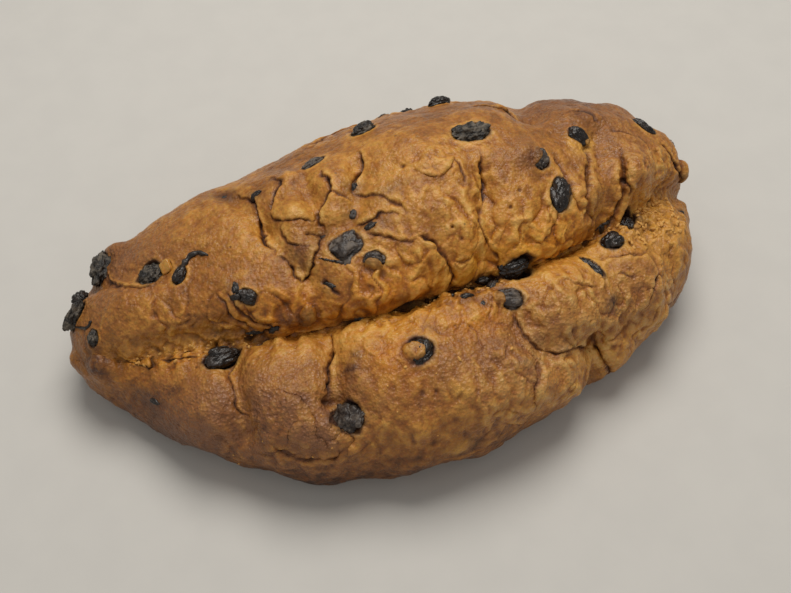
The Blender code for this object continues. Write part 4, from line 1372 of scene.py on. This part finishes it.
class StollenFruit(bpy.types.PropertyGroup):
    """The raisins and the candied peel."""

    wrinkle: FloatProperty(
        name="Wrinkles",
        description="Depth of a raisin's folds, as a share of its size",
        default=0.19,
        min=0.0,
        max=0.4,
        subtype="FACTOR",
    )
    skin: colour_setting("Skin", "Dark skin of a raisin", 20, 14, 11)
    bloom: colour_setting("Bloom", "Greyish cast on a raisin's folds", 74, 62, 54)
    scorched: colour_setting("Scorched", "Raisin burnt in the oven", 24, 19, 15)
    ash: colour_setting("Ash", "Dry grey on a burnt raisin", 122, 112, 98)
    dusky: colour_setting("Dusky", "Raisin under a film of dough", 42, 34, 31)
    film: colour_setting("Film", "Dough film on a raisin", 112, 100, 88)
    peel: colour_setting("Candied peel", "Syrupy yellow of the peel", 190, 142, 62)


class StollenStage(bpy.types.PropertyGroup):
    """The camera, the floor and the lights."""

    azimuth: FloatProperty(
        name="Azimuth",
        description="Turn of the camera round the loaf",
        default=radians(-20),
        subtype="ANGLE",
        unit="ROTATION",
    )
    elevation: FloatProperty(
        name="Elevation",
        description="Height of the camera as an angle",
        default=radians(52),
        subtype="ANGLE",
        unit="ROTATION",
    )
    distance: FloatProperty(
        name="Distance",
        description="From the camera to the point that it looks at",
        default=0.54,
        min=0.1,
        subtype="DISTANCE",
        unit="LENGTH",
    )
    lens: FloatProperty(
        name="Lens",
        description="Focal length in millimetres on a 36 mm sensor",
        default=55.0,
        min=10.0,
        unit="CAMERA",
    )
    key_power: FloatProperty(
        name="Key light",
        description="Power of the large light above the loaf",
        default=7.8,
        min=0.0,
        unit="POWER",
    )
    fill_power: FloatProperty(
        name="Fill light",
        description="Power of the soft light in front of the loaf",
        default=1.2,
        min=0.0,
        unit="POWER",
    )
    room: FloatProperty(
        name="Room light",
        description="Strength of the light from all round",
        default=0.32,
        min=0.0,
    )
    floor: colour_setting("Floor", "Colour of the plain floor", 205, 203, 198)


# ---------------------------------------------------------------- operators


class STOLLEN_OT_bake_front(bpy.types.Operator):
    """Bake the low front lobe of the loaf: its side and its top"""

    bl_idname = "stollen.bake_front"
    bl_label = "Front Lobe"

    def execute(self, context):
        settings = context.scene.stollen_crust
        crust = baked_crust(settings.relief, settings.grain)
        crust_piece("front_side", crust, 0, SHOULDER_ROW)
        crust_piece("front_top", crust, SHOULDER_ROW, CREASE_ROW)
        return {"FINISHED"}


class STOLLEN_OT_bake_fold(bpy.types.Operator):
    """Bake the tall fold of the loaf: its face over the crease, its top and its back"""

    bl_idname = "stollen.bake_fold"
    bl_label = "Fold"

    def execute(self, context):
        settings = context.scene.stollen_crust
        crust = baked_crust(settings.relief, settings.grain)
        crust_piece("fold_face", crust, CREASE_ROW, FACE_ROW)
        crust_piece("fold_top", crust, FACE_ROW, TOP_ROW)
        crust_piece("fold_back", crust, TOP_ROW, crust.points.shape[1] - 1)
        return {"FINISHED"}


class STOLLEN_OT_add_raisins(bpy.types.Operator):
    """Set the raisins in their sockets, in three kinds: glossy, scorched and dusky"""

    bl_idname = "stollen.add_raisins"
    bl_label = "Raisins"

    def execute(self, context):
        fruit = context.scene.stollen_fruit
        kinds = {
            "glossy": (fruit.skin[:3], fruit.bloom[:3], 0.45, 0.20, 0.00030),
            "scorched": (fruit.scorched[:3], fruit.ash[:3], 0.75, 0.38, 0.00070),
            "dusky": (fruit.dusky[:3], fruit.film[:3], 0.8, 0.34, 0.00035),
        }
        raisins = sorted(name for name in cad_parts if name.startswith("raisin_"))
        for kind, look in kinds.items():
            finish = raisin_finish(kind + "_raisin", *look)
            names = [name for name in raisins if RAISIN_KINDS.get(name, "glossy") == kind]
            parts = []
            for name in names:
                berry = Fruit(name)
                scorch, square, _ = BURST.get(name, (1.0 if kind == "scorched" else 0.2, 2.0, 1.0))
                seed = raisins.index(name)
                middle = berry.middle + RISEN.get(name, (0, 0, 0))
                skin = (fruit.wrinkle, scorch, FRUIT_DETAIL, square)
                parts.append(shrivelled(berry.half, berry.axes, middle, seed, *skin))
            mesh = mesh_from("raisins_" + kind, *joined(parts))
            add_piece("raisins_" + kind, mesh, finish, names)
        return {"FINISHED"}


class STOLLEN_OT_add_bits(bpy.types.Operator):
    """Scatter the small bits and shreds of raisin that are baked into the crust"""

    bl_idname = "stollen.add_bits"
    bl_label = "Small Fruit"

    def execute(self, context):
        crust, fruit = context.scene.stollen_crust, context.scene.stollen_fruit
        parts = []
        for seed, (along, over, length, width, turn, proud) in enumerate(BITS):
            point, axes = frame_at(along, over, turn, crust)
            half = np.array([length, width, 0.75 * width]) / 2
            middle = point - (half[2] - proud) * axes[2]
            parts.append(shrivelled(half, axes, middle, 60 + seed, fruit.wrinkle, 1.2, BIT_DETAIL))
        finish = raisin_finish("raisin_bit", fruit.skin[:3], fruit.bloom[:3], 0.6, 0.30, 0.00035)
        add_piece("raisin_bits", mesh_from("raisin_bits", *joined(parts)), finish, [])
        baked = baked_crust(crust.relief, crust.grain)
        shreds = [shred(baked, *row) for row in SHREDS]
        add_piece("raisin_shreds", mesh_from("raisin_shreds", *joined(shreds)), finish, [])
        return {"FINISHED"}


class STOLLEN_OT_add_peel(bpy.types.Operator):
    """Set the cube of candied peel"""

    bl_idname = "stollen.add_peel"
    bl_label = "Candied Peel"

    def execute(self, context):
        fruit = context.scene.stollen_fruit
        cube = Fruit("candied_peel")
        unit, faces = ball(FRUIT_DETAIL)
        block = unit / (np.abs(unit) ** 6).sum(1, keepdims=True) ** (1 / 6)
        size = 1.0 + 0.06 * SKIN.rough(block + 5, 0.9, 3)
        points = cube.middle + (block * cube.half * size[:, None]) @ cube.axes
        finish = Finish("candied_peel", 0.22, 0.6)
        finish.shader.inputs["Subsurface Weight"].default_value = 0.4
        finish.shader.inputs["Subsurface Radius"].default_value = (0.004, 0.002, 0.0006)
        cloud = finish.noise(0.0022, 3, 0.6)
        colour = finish.mix(finish.span(cloud, 0.3, 0.7, 0.0, 0.6), fruit.peel[:3], linear(*SYRUP))
        peel = finish.finish(colour, None, finish.bump(finish.noise(0.0010, 3), 0.0002))
        mesh = mesh_from("candied_peel_cube", points, faces.tolist())
        add_piece("candied_peel_cube", mesh, peel, ["candied_peel"])
        return {"FINISHED"}


class STOLLEN_OT_add_crumbs(bpy.types.Operator):
    """Scatter crumbs of torn dough and a few grains of sugar"""

    bl_idname = "stollen.add_crumbs"
    bl_label = "Crumbs"

    def execute(self, context):
        crust = context.scene.stollen_crust
        random = np.random.default_rng(5)
        parts = []
        for along, over, reach_along, reach_over, count, size in CRUMBS:
            for number in range(count):
                x = along + reach_along * random.uniform(-1, 1)
                place = over + reach_over * random.uniform(-1, 1)
                point, axes = frame_at(x, place, random.uniform(0, 360), crust)
                half = size * random.uniform(0.5, 1.0, 3) * (1.2, 0.8, 0.6)
                middle = point + 0.2 * half[2] * axes[2]
                parts.append(shrivelled(half, axes, middle, 90 + number, 0.1, 0.1, CRUMB_DETAIL))
        finish = Finish("dough_crumb", 0.6, 0.3)
        colour = finish.mix(finish.noise(0.002, 2), crust.golden[:3], crust.pale[:3])
        crumb = finish.finish(colour, None, finish.bump(finish.noise(0.0006, 2), 0.0002))
        add_piece("dough_crumbs", mesh_from("dough_crumbs", *joined(parts)), crumb, [])
        return {"FINISHED"}


def add_light(name, power, size, spot, colour):
    light = bpy.data.lights.new(name, "AREA")
    light.energy = power
    light.shape = "DISK"
    light.size = size
    light.color = colour
    lamp = bpy.data.objects.new(name, light)
    lamp.location = spot
    lamp.rotation_euler = Vector(spot).to_track_quat("Z", "Y").to_euler()
    bpy.context.scene.collection.objects.link(lamp)


class STOLLEN_OT_set_stage(bpy.types.Operator):
    """Set the camera, the plain floor and the soft lights"""

    bl_idname = "stollen.set_stage"
    bl_label = "Stage"

    def execute(self, context):
        scene, stage = context.scene, context.scene.stollen_stage
        lens = bpy.data.cameras.new("camera")
        lens.lens = stage.lens
        lens.sensor_width, lens.sensor_fit = 36, "HORIZONTAL"
        lens.clip_start = 0.01
        camera = bpy.data.objects.new("camera", lens)
        turn, rise = stage.azimuth, stage.elevation
        back = Vector((sin(turn) * cos(rise), -cos(turn) * cos(rise), sin(rise)))
        camera.location = Vector(LOOK_AT) + stage.distance * back
        camera.rotation_euler = back.to_track_quat("Z", "Y").to_euler()
        scene.collection.objects.link(camera)
        scene.camera = camera
        add_light("key_light", stage.key_power, 0.7, KEY_SPOT, (1.0, 0.96, 0.90))
        add_light("fill_light", stage.fill_power, 1.2, FILL_SPOT, (1.0, 0.98, 0.96))
        world = bpy.data.worlds.new("room")
        world.use_nodes = True
        walls = world.node_tree.nodes["Background"]
        walls.inputs["Color"].default_value = (1.0, 0.97, 0.93, 1.0)
        walls.inputs["Strength"].default_value = stage.room
        scene.world = world
        scene.view_settings.view_transform = "Standard"
        side = FLOOR_SIZE / 2
        corners = [(-side, -side, 0), (side, -side, 0), (side, side, 0), (-side, side, 0)]
        mesh = bpy.data.meshes.new("floor")
        mesh.from_pydata(corners, [], [(0, 1, 2, 3)])
        paper = Finish("floor_paper", 0.8, 0.2)
        cloud = paper.span(paper.noise(0.02, 4), 0.3, 0.7, 0.0, 0.05)
        colour = paper.mix(cloud, stage.floor[:3], FLOOR_CLOUD)
        mesh.materials.append(paper.finish(colour))
        floor = bpy.data.objects.new("floor", mesh)
        floor.location.z = -FLOOR_GAP
        scene.collection.objects.link(floor)
        return {"FINISHED"}


class STOLLEN_PT_panel(bpy.types.Panel):
    """The stollen's pieces, in the order in which they are made"""

    bl_idname = "STOLLEN_PT_panel"
    bl_label = "Stollen"
    bl_space_type = "VIEW_3D"
    bl_region_type = "UI"
    bl_category = "Stollen"

    def draw(self, context):
        for settings, operators in (
            (context.scene.stollen_crust, CRUST_OPERATORS),
            (context.scene.stollen_fruit, FRUIT_OPERATORS),
            (context.scene.stollen_stage, STAGE_OPERATORS),
        ):
            box = self.layout.box()
            for name in settings.__annotations__:
                box.prop(settings, name)
            for operator in operators:
                box.operator(operator.bl_idname)


CRUST_OPERATORS = (STOLLEN_OT_bake_front, STOLLEN_OT_bake_fold, STOLLEN_OT_add_crumbs)
FRUIT_OPERATORS = (STOLLEN_OT_add_raisins, STOLLEN_OT_add_bits, STOLLEN_OT_add_peel)
STAGE_OPERATORS = (STOLLEN_OT_set_stage,)
SETTINGS = {"stollen_crust": StollenCrust, "stollen_fruit": StollenFruit, "stollen_stage": StollenStage}
CLASSES = (*SETTINGS.values(), *CRUST_OPERATORS, *FRUIT_OPERATORS, *STAGE_OPERATORS, STOLLEN_PT_panel)


def register():
    for kind in CLASSES:
        bpy.utils.register_class(kind)
    for name, kind in SETTINGS.items():
        setattr(bpy.types.Scene, name, PointerProperty(type=kind))


def unregister():
    for name in SETTINGS:
        delattr(bpy.types.Scene, name)
    for kind in reversed(CLASSES):
        bpy.utils.unregister_class(kind)


def main():
    register()
    bpy.ops.stollen.bake_front()
    bpy.ops.stollen.bake_fold()
    bpy.ops.stollen.add_crumbs()
    bpy.ops.stollen.add_raisins()
    bpy.ops.stollen.add_bits()
    bpy.ops.stollen.add_peel()
    bpy.ops.stollen.set_stage()


if __name__ == "__main__":
    main()
